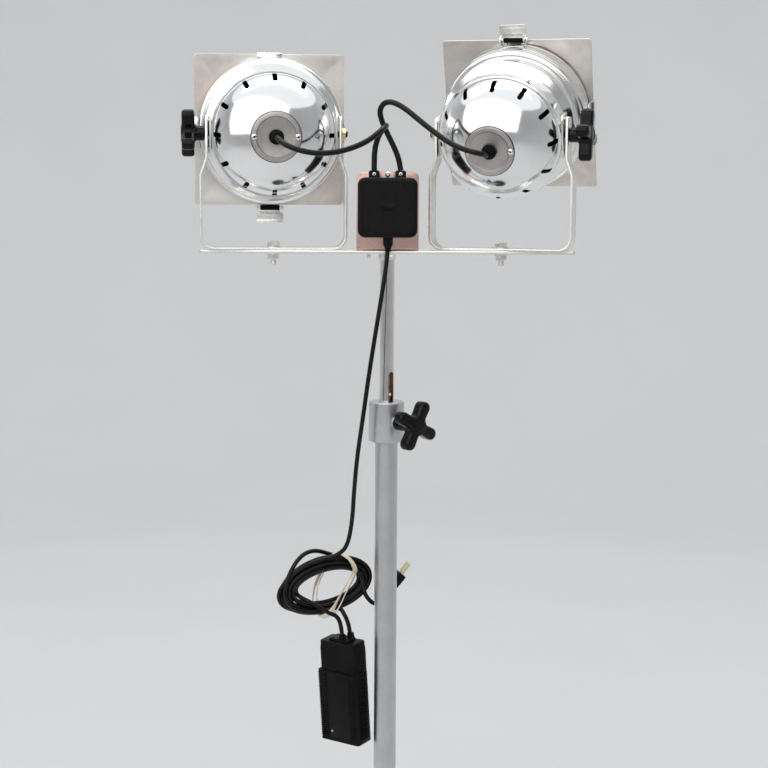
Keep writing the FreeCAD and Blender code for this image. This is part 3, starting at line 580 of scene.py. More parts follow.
def cut(target, cutter_shape, place):
    """Takes a shape out of a piece."""
    cutter = piece("cutter", cutter_shape, MIRROR, "stand", place=place)
    modifier = target.modifiers.new("cut", "BOOLEAN")
    modifier.object = cutter
    modifier.solver = "EXACT"
    with bpy.context.temp_override(object=target, active_object=target):
        bpy.ops.object.modifier_apply(modifier="cut")
    bpy.data.objects.remove(cutter)


def bolt_shape(shape, place, across, high, shank, reach, washer=0):
    """A hexagon head with a chamfer standing on z = 0, its shank down to -reach."""
    hexagon = circle(across / ROOT_3, 6, 0.2)
    levels = [(washer, 0.4), (washer + 0.4, 0), (high - 0.9, 0), (high, 1)]
    shape.stack(hexagon, levels, place)
    if washer:
        ring = [(0, 0.5), (0, across * 0.66), (washer, across * 0.66), (washer, 0.5)]
        shape.turned(rounded(ring, 0.15, 2), 32, place, ring=True)
    if reach:
        rings = [(high - 1, 0.1), (high - 1, shank)]
        turns = int(reach)
        for n in range(turns):
            z = -reach * n / turns
            rings += [(z, shank), (z - 0.5 * reach / turns, shank - 0.45)]
        rings += [(-reach, shank - 0.5), (-reach, 0)]
        shape.turned(rings, 24, place)
    return shape


def rivet(shape, place, radius, high, hollow=True):
    """A domed rivet head on z = 0, with a small pierced middle."""
    rings = [(-0.4, radius), (high * 0.3, radius), (high * 0.8, radius * 0.72),
             (high, radius * 0.42)]
    if hollow:
        rings += [(high * 0.9, radius * 0.34), (high * 0.2, radius * 0.30), (high * 0.2, 0)]
    else:
        rings += [(high * 1.05, 0)]
    return shape.turned(rings, 28, place)


def star(reach, tip, crotch, start, steps=8):
    """A four-armed knob's outline, with round tips and filleted crotches."""
    step = TAU / 4
    gap = (tip * 0.92 + crotch) / sin(step / 2)
    outline = []
    for n in range(4):
        a = start + n * step
        arcs = ((reach, tip, pi, a), (gap, crotch, step - pi, a + step / 2))
        for middle, radius, spread, c in arcs:
            for k in range(steps + 1):
                t = a - pi / 2 + spread * k / steps
                outline.append((middle * cos(c) + radius * cos(t),
                                middle * sin(c) + radius * sin(t)))
    return outline


def knob(name, place, body, stem_long, stands_for, start):
    """A glossy star knob on a stem along +Z from the origin."""
    shape = Shape()
    outline = star(24.2, 7.8, 6, radians(start))
    low = stem_long
    levels = moved(low, [(0, 3), (0.6, 1.4), (2, 0.2), (4, 0), (11.5, 0), (13.6, 0.5), (15, 1.7),
                         (15.7, 3.4)])
    shape.stack(outline, levels)
    stem = [(0, 0), (0, 8.2), (0.8, 9), (low - 3, 9), (low, 12), (low + 2, 12), (low + 2, 0)]
    shape.turned(stem, 48)
    hub = moved(low, [(14.5, 0), (14.5, 11.5), (15.9, 11.2), (16.6, 9.6), (16.7, 7), (16, 6.2),
                      (15.9, 0)])
    shape.turned(hub, 48)
    return piece(name, shape, GLOSS, body, stands_for, place, angle=40)


def along(direction, origin):
    """A matrix whose z axis points along a direction."""
    made = Vector(direction).to_track_quat("Z", "Y").to_matrix().to_4x4()
    made.translation = Vector(origin)
    return made


# ---- lamp heads, built with the tilt axis at the origin and the front to +Y ----
DOME_R = 73.5
DOME_RIM = -17
DOME_DEPTH = 57
SHELL_THICK = 1.2
DISC_EDGE = 26
VENTS = 12
VENT_HALF = 2.9
COVER_RIVET_X = 26
FRAME_HALF = 95
RING_R = 91
LATCH_PIN = (84, 98)
PIVOT_ARM = 83


def dome_line(shrink, steps=34):
    radius, depth = DOME_R - shrink, DOME_DEPTH - shrink
    last = acos(DISC_EDGE / radius)
    angles = [last * n / steps for n in range(steps + 1)]
    return [(DOME_RIM - depth * sin(a), radius * cos(a)) for a in angles]


def true_normals(target, place):
    """Gives the cut dome the exact normals of its two elliptical skins."""
    mesh = target.data
    back = place.inverted()
    corner_normals = [Vector(c.vector) for c in mesh.corner_normals]
    for face in mesh.polygons:
        for loop in face.loop_indices:
            at = back @ (mesh.vertices[mesh.loops[loop].vertex_index].co * 1000)
            radial = hypot(at.x, at.z)
            for shrink, sign in ((0, 1), (SHELL_THICK, -1)):
                r, d = DOME_R - shrink, DOME_DEPTH - shrink
                off = sqrt((radial / r) ** 2 + ((at.y - DOME_RIM) / d) ** 2) - 1
                if abs(off) * r < 0.12 and at.y < DOME_RIM + 0.01 and radial > DISC_EDGE - 0.5:
                    normal = Vector((at.x / r ** 2, (at.y - DOME_RIM) / d ** 2, at.z / r ** 2))
                    normal = (place.to_3x3() @ normal).normalized() * sign
                    if normal.dot(face.normal) > 0.9:
                        corner_normals[loop] = normal
    mesh.normals_split_custom_set(corner_normals)


def darken_inside(target, place):
    """The dome's inner skin and the cut walls of the slots get the near-black material: painted
    shade.
    """
    back = place.inverted()
    target.data.materials.append(PAINTED_SHADE_INSIDE)
    for face in target.data.polygons:
        at = back @ (face.center * 1000)
        radial = hypot(at.x, at.z)
        level = hypot(radial / DOME_R, (at.y - DOME_RIM) / DOME_DEPTH)
        if at.y < DOME_RIM - 0.2 and (1 - level) * DOME_R > 0.3:
            face.material_index = 1


def make_dome(name, place):
    outer, inner = dome_line(0), dome_line(SHELL_THICK)
    profile = outer + [(outer[-1][0], 5), (inner[-1][0], 5)] + inner[::-1]
    profile += moved(DOME_RIM, [(2, inner[0][1]), (2, 75.6), (1.6, 76), (0.5, 76), (0, 75.5),
                                (0, DOME_R + 0.3)])
    shell = Shape().turned(profile, 168, ring=True, axis="Y")
    dome = head_piece(name, "reflector_dome", shell, MIRROR, place, "dome")
    slots = Shape()
    ends = [(-VENT_HALF, -41.5), (VENT_HALF, -41.5), (VENT_HALF, -24.5), (-VENT_HALF, -24.5)]
    outline = rounded([(x, y + copysign(VENT_HALF, y + 33), VENT_HALF - 0.01)
                       for x, y in ends], 0, 7)
    for n in range(VENTS):
        spin = turn(360 / VENTS * n, "Y")
        slots.loft([[(x, y, z) for x, y in outline] for z in (DOME_R - 22, DOME_R + 3)], place=spin)
    cut(dome, slots, place)
    true_normals(dome, place)
    darken_inside(dome, place)


def make_can(name, place):
    outer = [
        (-15, 75.9), (-13.6, 76.4), (-12.8, 76), (-12.3, 75), (18, 75), (19, 75.5),
        (20, 75), (22.5, 75.2), (24, 76.6), (26.6, 82.9), (28.4, 84.5), (33, 84.5),
        (33.3, 83.5), (34.3, 83.5), (34.6, 84.5), (50, 84.5), (50.3, 83.5), (51.3, 83.5),
        (51.6, 84.5), (58, 84.5),
    ]
    inner = [(58, 83.3), (28.6, 83.3), (22.4, 73.9), (-15, 73.9)]
    shell = Shape().turned(outer + inner, 168, ring=True, axis="Y")
    can = head_piece(name, "can_shell", shell, SHELL, place, "can")
    holes = Shape()
    for n in range(VENTS):
        if n % 6 == 3:
            continue
        rings = [[(x, z - 6, r) for x, z in circle(3.2, 20)] for r in (70, 80)]
        holes.loft(rings, place=turn(360 / VENTS * n, "Y"))
    cut(can, holes, place)


def make_front_ring(name, place):
    profile = [(58, 83.3), (57.8, 86), (58.4, 86.8), (59.4, 87.2), (60.2, 88.6), (60.4, 90.2),
               (61.2, RING_R), (66, RING_R), (66.3, 90), (67.3, 90), (67.6, RING_R), (86, RING_R),
               (86.3, 90), (87.3, 90), (87.6, RING_R), (92.2, RING_R), (93, 90.2), (93, 84),
               (91.8, 84), (91.8, 89.4), (61.6, 89.4), (61.2, 85.5), (59.2, 83.3)]
    shape = Shape().turned(profile, 168, ring=True, axis="Y")
    channel = smooth_path([(80, 91.2), (95.3, 91.2), (95.3, 96), (98.7, 96), (98.7, 90.4)],
                          0.9, 3)
    for angle in (90, 180, 270):
        shape.loft(strip(channel, 32, 1.2, (5, 2), 0.25), place=turn(angle, "Y") @ YZ)
    seat = [(77, 91), (91, 91)]
    shape.loft(strip(seat, 32, 1.6, (3, 3), 0.3), place=YZ)
    pin_y, pin_z = LATCH_PIN
    ear = rounded([(pin_y - 5, 89.5), (pin_y + 5, 89.5), (pin_y + 5, pin_z + 4.9, 4.8),
                   (pin_y - 5, pin_z + 4.9, 4.8)], 0, 6)
    for side in (-1, 1):
        middle = side * 15.4
        shape.loft(slab(ear, middle - 0.6, middle + 0.6, 0.25, "X"))
    for x in (-10, 10):
        rivet(shape, along((0, 0, 1), (x, pin_y + 3.5, 91.8)), 2, 1.1)
    head_piece(name, "frame_holder", shape, SHELL, place, "front_ring")


def make_latch(name, place):
    pin_y, pin_z = LATCH_PIN
    shape = Shape()
    hook = smooth_path([(100.2, 90.4), (100.2, 100), (84.5, 100.6)], 1.4, 5)
    shape.loft(strip(hook, 26, 1.2, (1.5, 0), 0.3), place=YZ)
    barrel = [(-13, 1.6), (-13, 2.8), (-12.7, 3), (12.7, 3), (13, 2.8), (13, 1.6)]
    across = shift(0, pin_y, pin_z) @ YZ
    shape.turned(barrel, 32, across, ring=True)
    stem = smooth_path([(82, 98.6), (81.6, 101.5), (81.6, 105)], 3, 4)
    shape.loft(strip(stem, 26, 1.2, (0, 0), 0.3), place=YZ)
    tab = smooth_path([(81.6, 103.6), (81.6, 112, 12), (80.6, 117)], 12, 6)
    shape.loft(strip(tab, 34, 1.2, (1.5, 3.5), 0.3), place=YZ)
    pin = [(-18.5, 0), (-18.5, 1.9), (-17.9, 2.4), (-16.6, 2.4), (-16.6, 1.5), (16.6, 1.5),
           (16.6, 2.4), (17.9, 2.4), (18.5, 1.9), (18.5, 0)]
    shape.turned(pin, 24, across)
    piece(name + "_latch_clip", shape, ZINC, name + "_latch", name + "_latch", place)
    wire = [(-12.3, 3.05)]
    for n in range(16):
        x = -12 + 1.5 * n
        wire += [(x, 3.7), (x + 0.4, 4.2), (x + 0.9, 4.2), (x + 1.3, 3.7)]
    wire.append((12.3, 3.05))
    spring = Shape().turned(wire, 24, across, ring=True)
    piece(name + "_latch_spring", spring, BLACK_STEEL, name + "_latch", place=place)


def make_colour_frame(name, place):
    """A flat sheet with a round hole and pressed, turned-over edges."""
    outline = []
    corners = rectangle(2 * FRAME_HALF, 2 * FRAME_HALF, 4, 5)
    for n, start in enumerate(corners):
        end = corners[(n + 1) % len(corners)]
        pieces = max(1, round((Vector(end) - Vector(start)).length / 5))
        for k in range(pieces):
            outline.append(tuple(Vector(start).lerp(Vector(end), k / pieces)))
    hole = [tuple(Vector(p).normalized() * 73) for p in outline]
    hem = [tuple(Vector(p) * ((FRAME_HALF - 8.5) / FRAME_HALF)) for p in outline]
    hem_in = [tuple(Vector(p) * ((FRAME_HALF - 9.3) / FRAME_HALF)) for p in outline]
    lip = [tuple(Vector(p).normalized() * 75.5) for p in outline]
    rings = [(inset(outline, 0.6), 96.2), (hem, 96.2), (hem_in, 96.3), (lip, 96.3),
             (inset(hole, -1.2), 96.35), (inset(hole, -0.3), 96.5), (hole, 97),
             (inset(hole, -0.3), 97.7), (lip, 97.8), (inset(outline, 0.4), 97.8),
             (outline, 97.4), (outline, 96.6)]
    shape = Shape().loft([[(x, y, z) for x, z in ring] for ring, y in rings], ring=True)
    head_piece(name, "filter_frame", shape, STAINED, place, "colour_frame", slot="plain_aluminium",
               angle=14)


def make_inner_reflector(name, place):
    """The bowl round the bulb that closes the view through the dome's slots, with painted shade on
    its outer skin.
    """
    skin = [(-39, 21), (-37, 27), (-31, 37), (-20, 49), (-6, 59), (8, 66),
            (21, 71.5), (24, 73.2)]
    inside = [(y + 0.9, r - 0.6) for y, r in reversed(skin)]
    shape = Shape().turned(skin + inside, 96, ring=True, axis="Y")
    bowl = head_piece(name, "inner_reflector", shape, PAINTED_SHADE_INSIDE, place, slot="plain_aluminium")
    # Painted shade: the outer skin, seen through the dome's slots, keeps the near-black material;
    # the faces turned in towards the bulb get shiny aluminium.
    bowl.data.materials.append(SHELL)
    back = place.inverted()
    for face in bowl.data.polygons:
        at = back @ (face.center * 1000)
        outward = back.to_3x3() @ face.normal
        if outward.x * at.x + outward.z * at.z < 0:
            face.material_index = 1


def make_lens(name, place):
    """A stepped lens: a plain back, sixteen sloping rings and a domed middle in front."""
    edge, back = 89.2, 83.8
    profile = moved(back, [(0, 0), (0, edge - 0.4), (0.4, edge), (3.6, edge), (4, edge - 0.4)])
    rings = 16
    pitch = (edge - 18) / rings
    for n in range(rings):
        outer = edge - 0.8 - n * pitch
        profile += [(back + 4, outer), (back + 6.6, outer - pitch + 0.5)]
    middle = profile[-1][1] - 0.5
    profile.append((back + 4, middle))
    for n in range(1, 9):
        angle = pi / 2 * n / 8
        profile.append((back + 4 + 3 * sin(angle), middle * cos(angle)))
    shape = Shape().turned(profile, 144, axis="Y")
    head_piece(name, "stepped_lens", shape, LENS, place, "lens")


def make_lamp(name, place):
    bulb = [(-34, 0), (-34, 8.6), (-33, 9.4), (-30, 12), (-26, 13.8), (-20, 14), (6, 14)]
    for n in range(1, 9):
        angle = pi / 2 * n / 8
        bulb.append((6 + 14 * sin(angle), 14 * cos(angle)))
    glass_shape = Shape().turned(bulb, 64, axis="Y")
    head_piece(name, "bulb_envelope", glass_shape, BULB, place, "lamp", slot="glass")
    metal_shape = Shape()
    cap = [(-46, 0), (-46, 8.4), (-45, 9), (-35.5, 9), (-34.4, 8), (-34.4, 0)]
    metal_shape.turned(cap, 48, axis="Y")
    for x in (-4.5, 4.5):
        wire = [(-34.5, 0), (-34.5, 0.6), (-6, 0.6), (-6, 0)]
        metal_shape.turned(wire, 10, shift(x, 0, 0), axis="Y")
    turns = 64
    path = []
    for n in range(turns + 1):
        spin = TAU * 8 * n / turns
        path.append(Vector((-4.5 + 9 * n / turns, -6 + 1.3 * cos(spin), 1.3 * sin(spin))))
    metal_shape.loft([[p + Vector((0, 0.25 * c, 0.25 * s)) for c, s in circle(1, 6)] for p in path])
    head_piece(name, "bulb_cap", metal_shape, ZINC, place)


def make_back_cover(name, place):
    face = DOME_RIM - DOME_DEPTH * sin(acos(DISC_EDGE / DOME_R))
    profile = moved(face, [(0, 5), (-1.3, 5), (-1.3, 23), (-1.5, 23.6), (-2.1, 24.4), (-2.1, 28.6),
                           (-1.6, 29.6), (-0.6, 30), (0, 29.9)])
    shape = Shape().turned(profile, 120, ring=True, axis="Y")
    head_piece(name, "rear_cover", shape, COVER, place, "back_cover", slot="plain_aluminium")
    rivets = Shape()
    for side in (-1, 1):
        rivet(rivets, along((0, -1, 0), (side * COVER_RIVET_X, face - 2.1, 0)), 3.5, 1.6)
    head_piece(name, "cover_rivets", rivets, SHELL, place)
    dark = Shape()
    # Painted shade: black rubber pins fill the pierced middles of the cover rivets, standing for
    # the shade in their holes; the ring below is the rubber gasket.
    for side in (-1, 1):
        core = [(0.2, 0), (0.2, 1), (1.75, 1), (1.95, 0.8), (1.95, 0)]
        dark.turned(core, 20, along((0, -1, 0), (side * COVER_RIVET_X, face - 2.1, 0)))
    gasket = moved(face, [(0.4, 29.8), (-0.3, 29.9), (-0.4, 30.2), (-0.3, 30.5), (0.6, 30.7)])
    dark.turned(gasket, 120, ring=True, axis="Y")
    head_piece(name, "cover_gasket_and_rivet_shade", dark, RUBBER, place)
    gland = moved(face, [(1, 0), (1, 5), (-1.4, 5), (-1.4, 8.2), (-2.2, 8.9), (-5.2, 8.9),
                         (-6, 8.2), (-6.4, 7)])
    for n in range(3):
        s = face - 7.2 - 2.6 * n
        r = 6.9 - 0.55 * n
        gland += [(s, r), (s - 1.2, r - 0.1), (s - 1.5, r - 0.9), (s - 2.2, r - 1)]
    gland += moved(face, [(-15, 4.9), (-15, 3.5), (-6, 3.3), (-6, 0)])
    head_piece(name, "cord_entry", Shape().turned(gland, 48, axis="Y"), RUBBER, place, "cord_gland")


def make_pivots(name, place):
    plates, studs, nut = Shape(), Shape(), Shape()
    for side in (-1, 1):
        low, high = sorted((side * 75.7, side * 77.8))
        plates.loft(slab(rectangle(30, 52, 6), low, high, 0.4, "X"))
        for z in (-20, 20):
            rivet(plates, along((side, 0, 0), (side * 77.8, 0, z)), 2.9, 1.3)
        reach = PIVOT_ARM + (15 if side == 1 else 8)
        thread = [(68, 0), (68, 4)]
        steps = int((reach - 78) / 1.25)
        for n in range(steps):
            thread += [(78 + 1.25 * n, 4), (78.6 + 1.25 * n, 3.5)]
        thread += moved(reach, [(-0.6, 3.8), (0, 3.2), (0, 0)])
        outward = axes((0, 1, 0), (0, 0, 1), (side, 0, 0))
        studs.turned(thread, 28, outward)
    outward = axes((0, 1, 0), (0, 0, 1), (-1, 0, 0), (-PIVOT_ARM, 0, 0))
    nut.loft(slab(circle(7.5, 6, 0.3), 0.6, 5.6, 0.7), place=outward)
    head_piece(name, "side_plates", plates, ZINC, place, "pivot_plates")
    head_piece(name, "studs", studs, BLACK_STEEL, place, "pivot_studs", slot="zinc")
    head_piece(name, "lock_nut", nut, BRASS, place)


def make_yoke(name, place):
    reach, low = 88.5, -PIVOT_RISE + 1.5
    side = [(81.5, 22), (81.5, -30, 14), (reach, -50, 14), (reach, low, 15.5)]
    corners = [(-x, *rest) for x, *rest in side] + side[::-1]
    shape = Shape().loft(strip(smooth_path(corners, 0, 12), 25, 3, (8, 8), 0.6), place=XZ)
    piece(name + "_yoke_bar", shape, ZINC, name + "_yoke", name + "_yoke", place, angle=40)


for head_name, pose in HEADS.items():
    swivel = shift(pose["side"] * HEAD_SPACING / 2, 0, BAR_TOP + PIVOT_RISE)
    swivel = swivel @ turn(pose["yaw"], "Z")
    aim = swivel @ turn(pose["pitch"], "X") @ turn(pose["roll"], "Y")
    make_yoke(head_name, swivel)
    for build in (make_dome, make_can, make_front_ring, make_latch, make_colour_frame,
                  make_inner_reflector, make_lens, make_lamp, make_back_cover, make_pivots):
        build(head_name, aim)
    grip = axes((0, -1, 0), (0, 0, -1), (1, 0, 0), (PIVOT_ARM + 0.6, 0, 0))
    knob(head_name + "_star_knob", aim @ grip, head_name + "_tilt_knob", 12,
         head_name + "_tilt_knob", 62)


# ---- stand, mast and cross bar ----
CLAMP_Z = 988
CLAMP_TURN = radians(40)
COLLAR_TOP = 1013
M8_ACROSS = 13
STOP_SCREW_Z = 1021.5


def make_stand():
    pad = [(0, 0), (0, 163.5), (0.8, 165), (3, 165), (3, 0)]
    piece("base_pad_disc", Shape().turned(pad, 160), RUBBER, "stand", "base_pad")
    plate = [(3, 12.5), (3, 168.8), (4.2, 170), (11.5, 170), (13.6, 169.3), (15, 166.6),
             (15, 24), (15.6, 21.2), (17.4, 20.2), (20, 20), (43, 20), (44.4, 19.4),
             (45, 18), (45, 14.05), (16, 14.05), (16, 12.5)]
    base = Shape().turned(plate, 200, ring=True)
    outward = shift(0, -19.6, 32) @ REARWARD
    bolt_shape(base, outward, 8, 3.4, 2, 0)
    piece("weighted_base", base, BLACK_STEEL, "stand", "base_plate")
    tube = [(11, 12), (11, 14), (974, 14), (975, 13.2), (975, 12)]
    piece("outer_tube", Shape().turned(tube, 96, ring=True), STAND, "stand", "lower_tube")
    low = COLLAR_TOP - 50
    collar = [(COLLAR_TOP - 2, 9.1), (COLLAR_TOP - 0.4, 9.6), (COLLAR_TOP, 10.2),
              (COLLAR_TOP, 20.2), (COLLAR_TOP - 0.5, 21.3), (COLLAR_TOP - 1.6, 22), (low + 1.4, 22),
              (low + 0.4, 21.6), (low, 20.6), (low, 14.6), (low - 2.4, 14.5), (low - 2.6, 14.1),
              (low + 4, 14), (low + 4, 12), (COLLAR_TOP - 30, 9.1)]
    shape = Shape().turned(collar, 120, ring=True)
    boss = axes((cos(CLAMP_TURN), sin(CLAMP_TURN), 0), (0, 0, 1),
                (sin(CLAMP_TURN), -cos(CLAMP_TURN), 0), (0, 0, CLAMP_Z))
    ring = [(20.6, 4.2), (20.6, 9.6), (22.2, 9.6), (22.6, 9.2), (22.6, 4.2)]
    shape.turned(ring, 48, boss, ring=True)
    piece("clamp_collar", shape, STAND, "stand", "stand_collar")
    grip = axes((-cos(CLAMP_TURN), -sin(CLAMP_TURN), 0), (0, 0, -1),
                (sin(CLAMP_TURN), -cos(CLAMP_TURN), 0), (0, 0, CLAMP_Z))
    knob("clamp_star_knob", grip @ shift(0, 0, 22.8), "clamp", 23.8, "clamp_knob", 62)
    screw = Shape()
    thread = [(5.6, 0), (5.6, 3), (6, 3.2), (10.4, 3.2), (10.6, 4)]
    for n in range(11):
        thread += [(11 + 1.2 * n, 4), (11.6 + 1.2 * n, 3.5)]
    thread += [(24.6, 4), (24.6, 0)]
    screw.turned(thread, 28, grip)
    piece("clamp_screw", screw, ZINC, "clamp")


def make_mast_inside():
    """The brown inner tube behind the mast's slot, and the bright stop screw on it."""
    low, high = 745, 1062
    brown = metal("browned_steel", (0.22, 0.11, 0.055), (0.42, 0.24, 0.13), (0.3, 0.5), 60)
    tube = [(low, 4.4), (low, 5.1), (low + 0.3, 5.3), (high - 0.3, 5.3), (high, 5.1), (high, 4.4)]
    sleeve = Shape().turned(tube, 40, ring=True)
    piece("mast_inner_tube", sleeve, brown, "mast", slot="painted_tube")
    outward = Vector((sin(CLAMP_TURN), -cos(CLAMP_TURN), 0))
    screw = Shape()
    head = [(-1, 0), (-1, 2.4), (0.8, 2.4), (1.6, 1.9), (2.1, 1), (2.2, 0)]
    screw.turned(head, 24, along(outward, outward * 5.2 + Vector((0, 0, STOP_SCREW_Z))))
    piece("mast_stop_screw", screw, SHELL, "mast", slot="zinc")


def make_cross_bar():
    bar = Shape().loft(slab(rectangle(460, 30, 4), BAR_TOP - 4, BAR_TOP, 0.6))
    piece("t_bar", bar, BAR, "mast", "cross_bar", angle=40)
    bolts, nuts, washers = Shape(), Shape(), Shape()
    for x in (-HEAD_SPACING / 2, HEAD_SPACING / 2):
        seat = BAR_TOP + 4.6
        bolt_shape(bolts, shift(x, 0, seat), M8_ACROSS, 5.3, 4, 23)
        for low, high, wide in ((BAR_TOP + 3, seat, 8.5), (BAR_TOP - 5.6, BAR_TOP - 4, 9.5)):
            ring = [(low, 4.2), (low, wide - 0.3), (low + 0.3, wide), (high - 0.3, wide),
                    (high, wide - 0.3), (high, 4.2)]
            washers.turned(ring, 48, shift(x, 0, 0), ring=True)
        nuts.loft(slab(circle(M8_ACROSS / ROOT_3, 6, 0.35, x), BAR_TOP - 12.1, BAR_TOP - 5.6, 0.8))
    piece("yoke_bolt_pair", bolts, ZINC, "mast", "yoke_bolts")
    piece("yoke_washers", washers, ZINC, "mast")
    piece("yoke_nut_pair", nuts, ZINC, "mast", "yoke_nuts")
    middle = Shape()
    bolt_shape(middle, shift(0, 0, BAR_TOP + 2), M8_ACROSS, 5.3, 4, 24)
    bolt_shape(middle, shift(-23, 2, BAR_TOP + 2), 10, 4, 2.5, 12)
    piece("mast_bolt_pair", middle, ZINC, "mast", "mast_bolt")
    nut = Shape().loft(slab(circle(18.5 / ROOT_3, 6, 0.1), BAR_TOP - 12, BAR_TOP - 4, 0.9))
    piece("mast_top_nut", nut, ZINC, "mast", "mast_nut")


# ---- junction box ----
BOX_Z = BAR_TOP + 53
CLAMP_PLACES = (-16.4, 15.5)
CLAMP_DEPTH = -31
ENTRY_X, ENTRY_DEPTH = 0.6, -32
RAISED_MARKS = [  # plain bars on the cover: x, z, width, height
    (0, 0.5, 15, 9), (-28, 25, 4.5, 1.2), (-3.5, 25, 1.2, 5), (1.5, 25, 1.2, 5),
    (21, 25, 1.2, 4.5), (25, 25, 1.2, 4.5), (-27, -2, 4, 1.2), (24, -26, 6, 1.2),
]


def make_box():
    path = smooth_path([(12, BAR_TOP + 1), (-14, BAR_TOP + 1), (-14, BAR_TOP + 96)], 2.6, 6)
    shape = Shape().loft(strip(path, 76, 2, (1, 7.5), 0.4), place=YZ)
    piece("box_bracket_plate", shape, BRACKET, "mast", "box_bracket", angle=40)

    centre = shift(0, 0, BOX_Z)
    outline = rectangle(72, 72, 9, 10)
    base = Shape().stack(outline, ((-15, 0.4), (-15.4, 0), (-34.2, 0), (-34.2, 0.8), (-35, 0.8)),
                         centre, axis="Y")
    piece("box_base_shell", base, PLASTIC, "mast", "box_base terminal_block")
    cover = Shape().stack(outline, ((-35, 0.5), (-35.4, 0), (-46.6, 0), (-48, 0.3), (-49.2, 1.1),
                                    (-49.8, 2.3), (-50, 3.8), (-50, 5.6), (-49.6, 6)), centre,
                          axis="Y")
    front = -49.6
    for x, z, wide, high in RAISED_MARKS:
        plate = rectangle(wide, high, 0.55, 3)
        cover.stack(plate, moved(front, [(0.2, 0), (-0.25, 0), (-0.35, 0.15)]), centre, axis="Y",
                    at=(x, z))
    for x, z, r in ((25, 0.5, 3.2), (-26, -25, 4), (-26, 12, 2.2)):
        ring = [(0, r - 0.7), (0.35, r - 0.6), (0.35, r), (0, r + 0.1)]
        cover.turned(ring, 32, centre @ shift(x, front, z) @ REARWARD, ring=True)
    piece("box_cover_shell", cover, PLASTIC, "mast", "box_cover", angle=40)

    clamps, screws = Shape(), Shape()
    top = BAR_TOP + 89
    for x in CLAMP_PLACES:
        block = rectangle(13, 14, 1.6, 4)
        clamps.stack(block, moved(top, [(0, 0), (6.6, 0), (7.6, 0.5), (8, 1.2)]),
                     at=(x, CLAMP_DEPTH))
        collar = moved(top, [(7, 0), (7, 5), (8.3, 4.7), (8.6, 3.9), (8.6, 0)])
        clamps.turned(collar, 32, shift(x, CLAMP_DEPTH, 0))
        face = shift(x, -38, top + 4) @ REARWARD
        clamps.turned([(0, 2.7), (0, 3.7), (0.9, 3.5), (1, 2.9), (0.6, 2.7)], 32, face, ring=True)
        screws.turned([(-0.6, 0), (-0.6, 2.4), (0.3, 2.3), (0.5, 1.9), (0.5, 1), (-0.2, 0.7),
                       (-0.2, 0)], 28, face)
    block = rectangle(12.2, 12, 1.6, 4)
    low = BAR_TOP + 17
    clamps.stack(block, moved(low, [(0, 0), (-8, 0.3), (-10.4, 0.9), (-11, 1.8)]),
                 at=(ENTRY_X, ENTRY_DEPTH))
    boot = moved(low, [(-10.5, 0), (-10.5, 4.6), (-13, 4.3), (-13.4, 3.6), (-15, 3.5), (-15.4, 4),
                       (-17, 3.8), (-17.4, 3.1), (-17.4, 0)])
    clamps.turned(boot, 32, shift(ENTRY_X, ENTRY_DEPTH, 0))
    piece("cord_clamp_blocks", clamps, PLASTIC, "mast", "cord_clamps", angle=40)
    for x, z in ((-26, 27), (26, 79)):
        back = axes((1, 0, 0), (0, 0, 1), (0, 1, 0), (x, -13, BAR_TOP + z))
        rivet(screws, back, 3.8, 2.2, hollow=False)
    front_face = shift(0, -15, BAR_TOP + 92.4) @ REARWARD
    rivet(screws, front_face, 3.4, 2.3)
    screws.turned([(-6, 0), (-6, 1.8), (0.2, 2), (0.2, 0)], 20, front_face)
    piece("box_screw_set", screws, ZINC, "mast", "box_screws")


# ---- lamp cords: one tube each side of the yoke bolt's axis ----
def tube_mesh(line, radius, count=18):
    """Loops of a round tube along a line, carried without twist."""
    loops = []
    tangent = (line[1] - line[0]).normalized()
    side = tangent.orthogonal().normalized()
    for n, point in enumerate(line):
        ahead = (line[min(n + 1, len(line) - 1)] - line[max(n - 1, 0)]).normalized()
        side = (side - ahead * side.dot(ahead)).normalized()
        up = ahead.cross(side)
        loops.append([point + side * (radius * c) + up * (radius * s) for c, s in circle(1, count)])
    return loops


def lamp_cord(name, route):
    line = [p * 1000 for p in traced([world(p) for p in route])]
    cut_at = LAMP_SPLIT[name]
    middle = (world(route[cut_at]) + world(route[cut_at + 1])) * 500
    split = min(range(len(line)), key=lambda n: (line[n] - middle).length)
    halves = (("lower", line[:split + 1], "mast", name + "_yoke"),
              ("upper", line[split:], name + "_yoke", name + "_head"))
    for part, run, first, second in halves:
        shape = Shape().loft(tube_mesh(run, LAMP_CORD * 500))
        tube = piece(f"{name}_lamp_cord_{part}", shape, CORD, None, f"{name}_cord_{part}")
        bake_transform(tube)


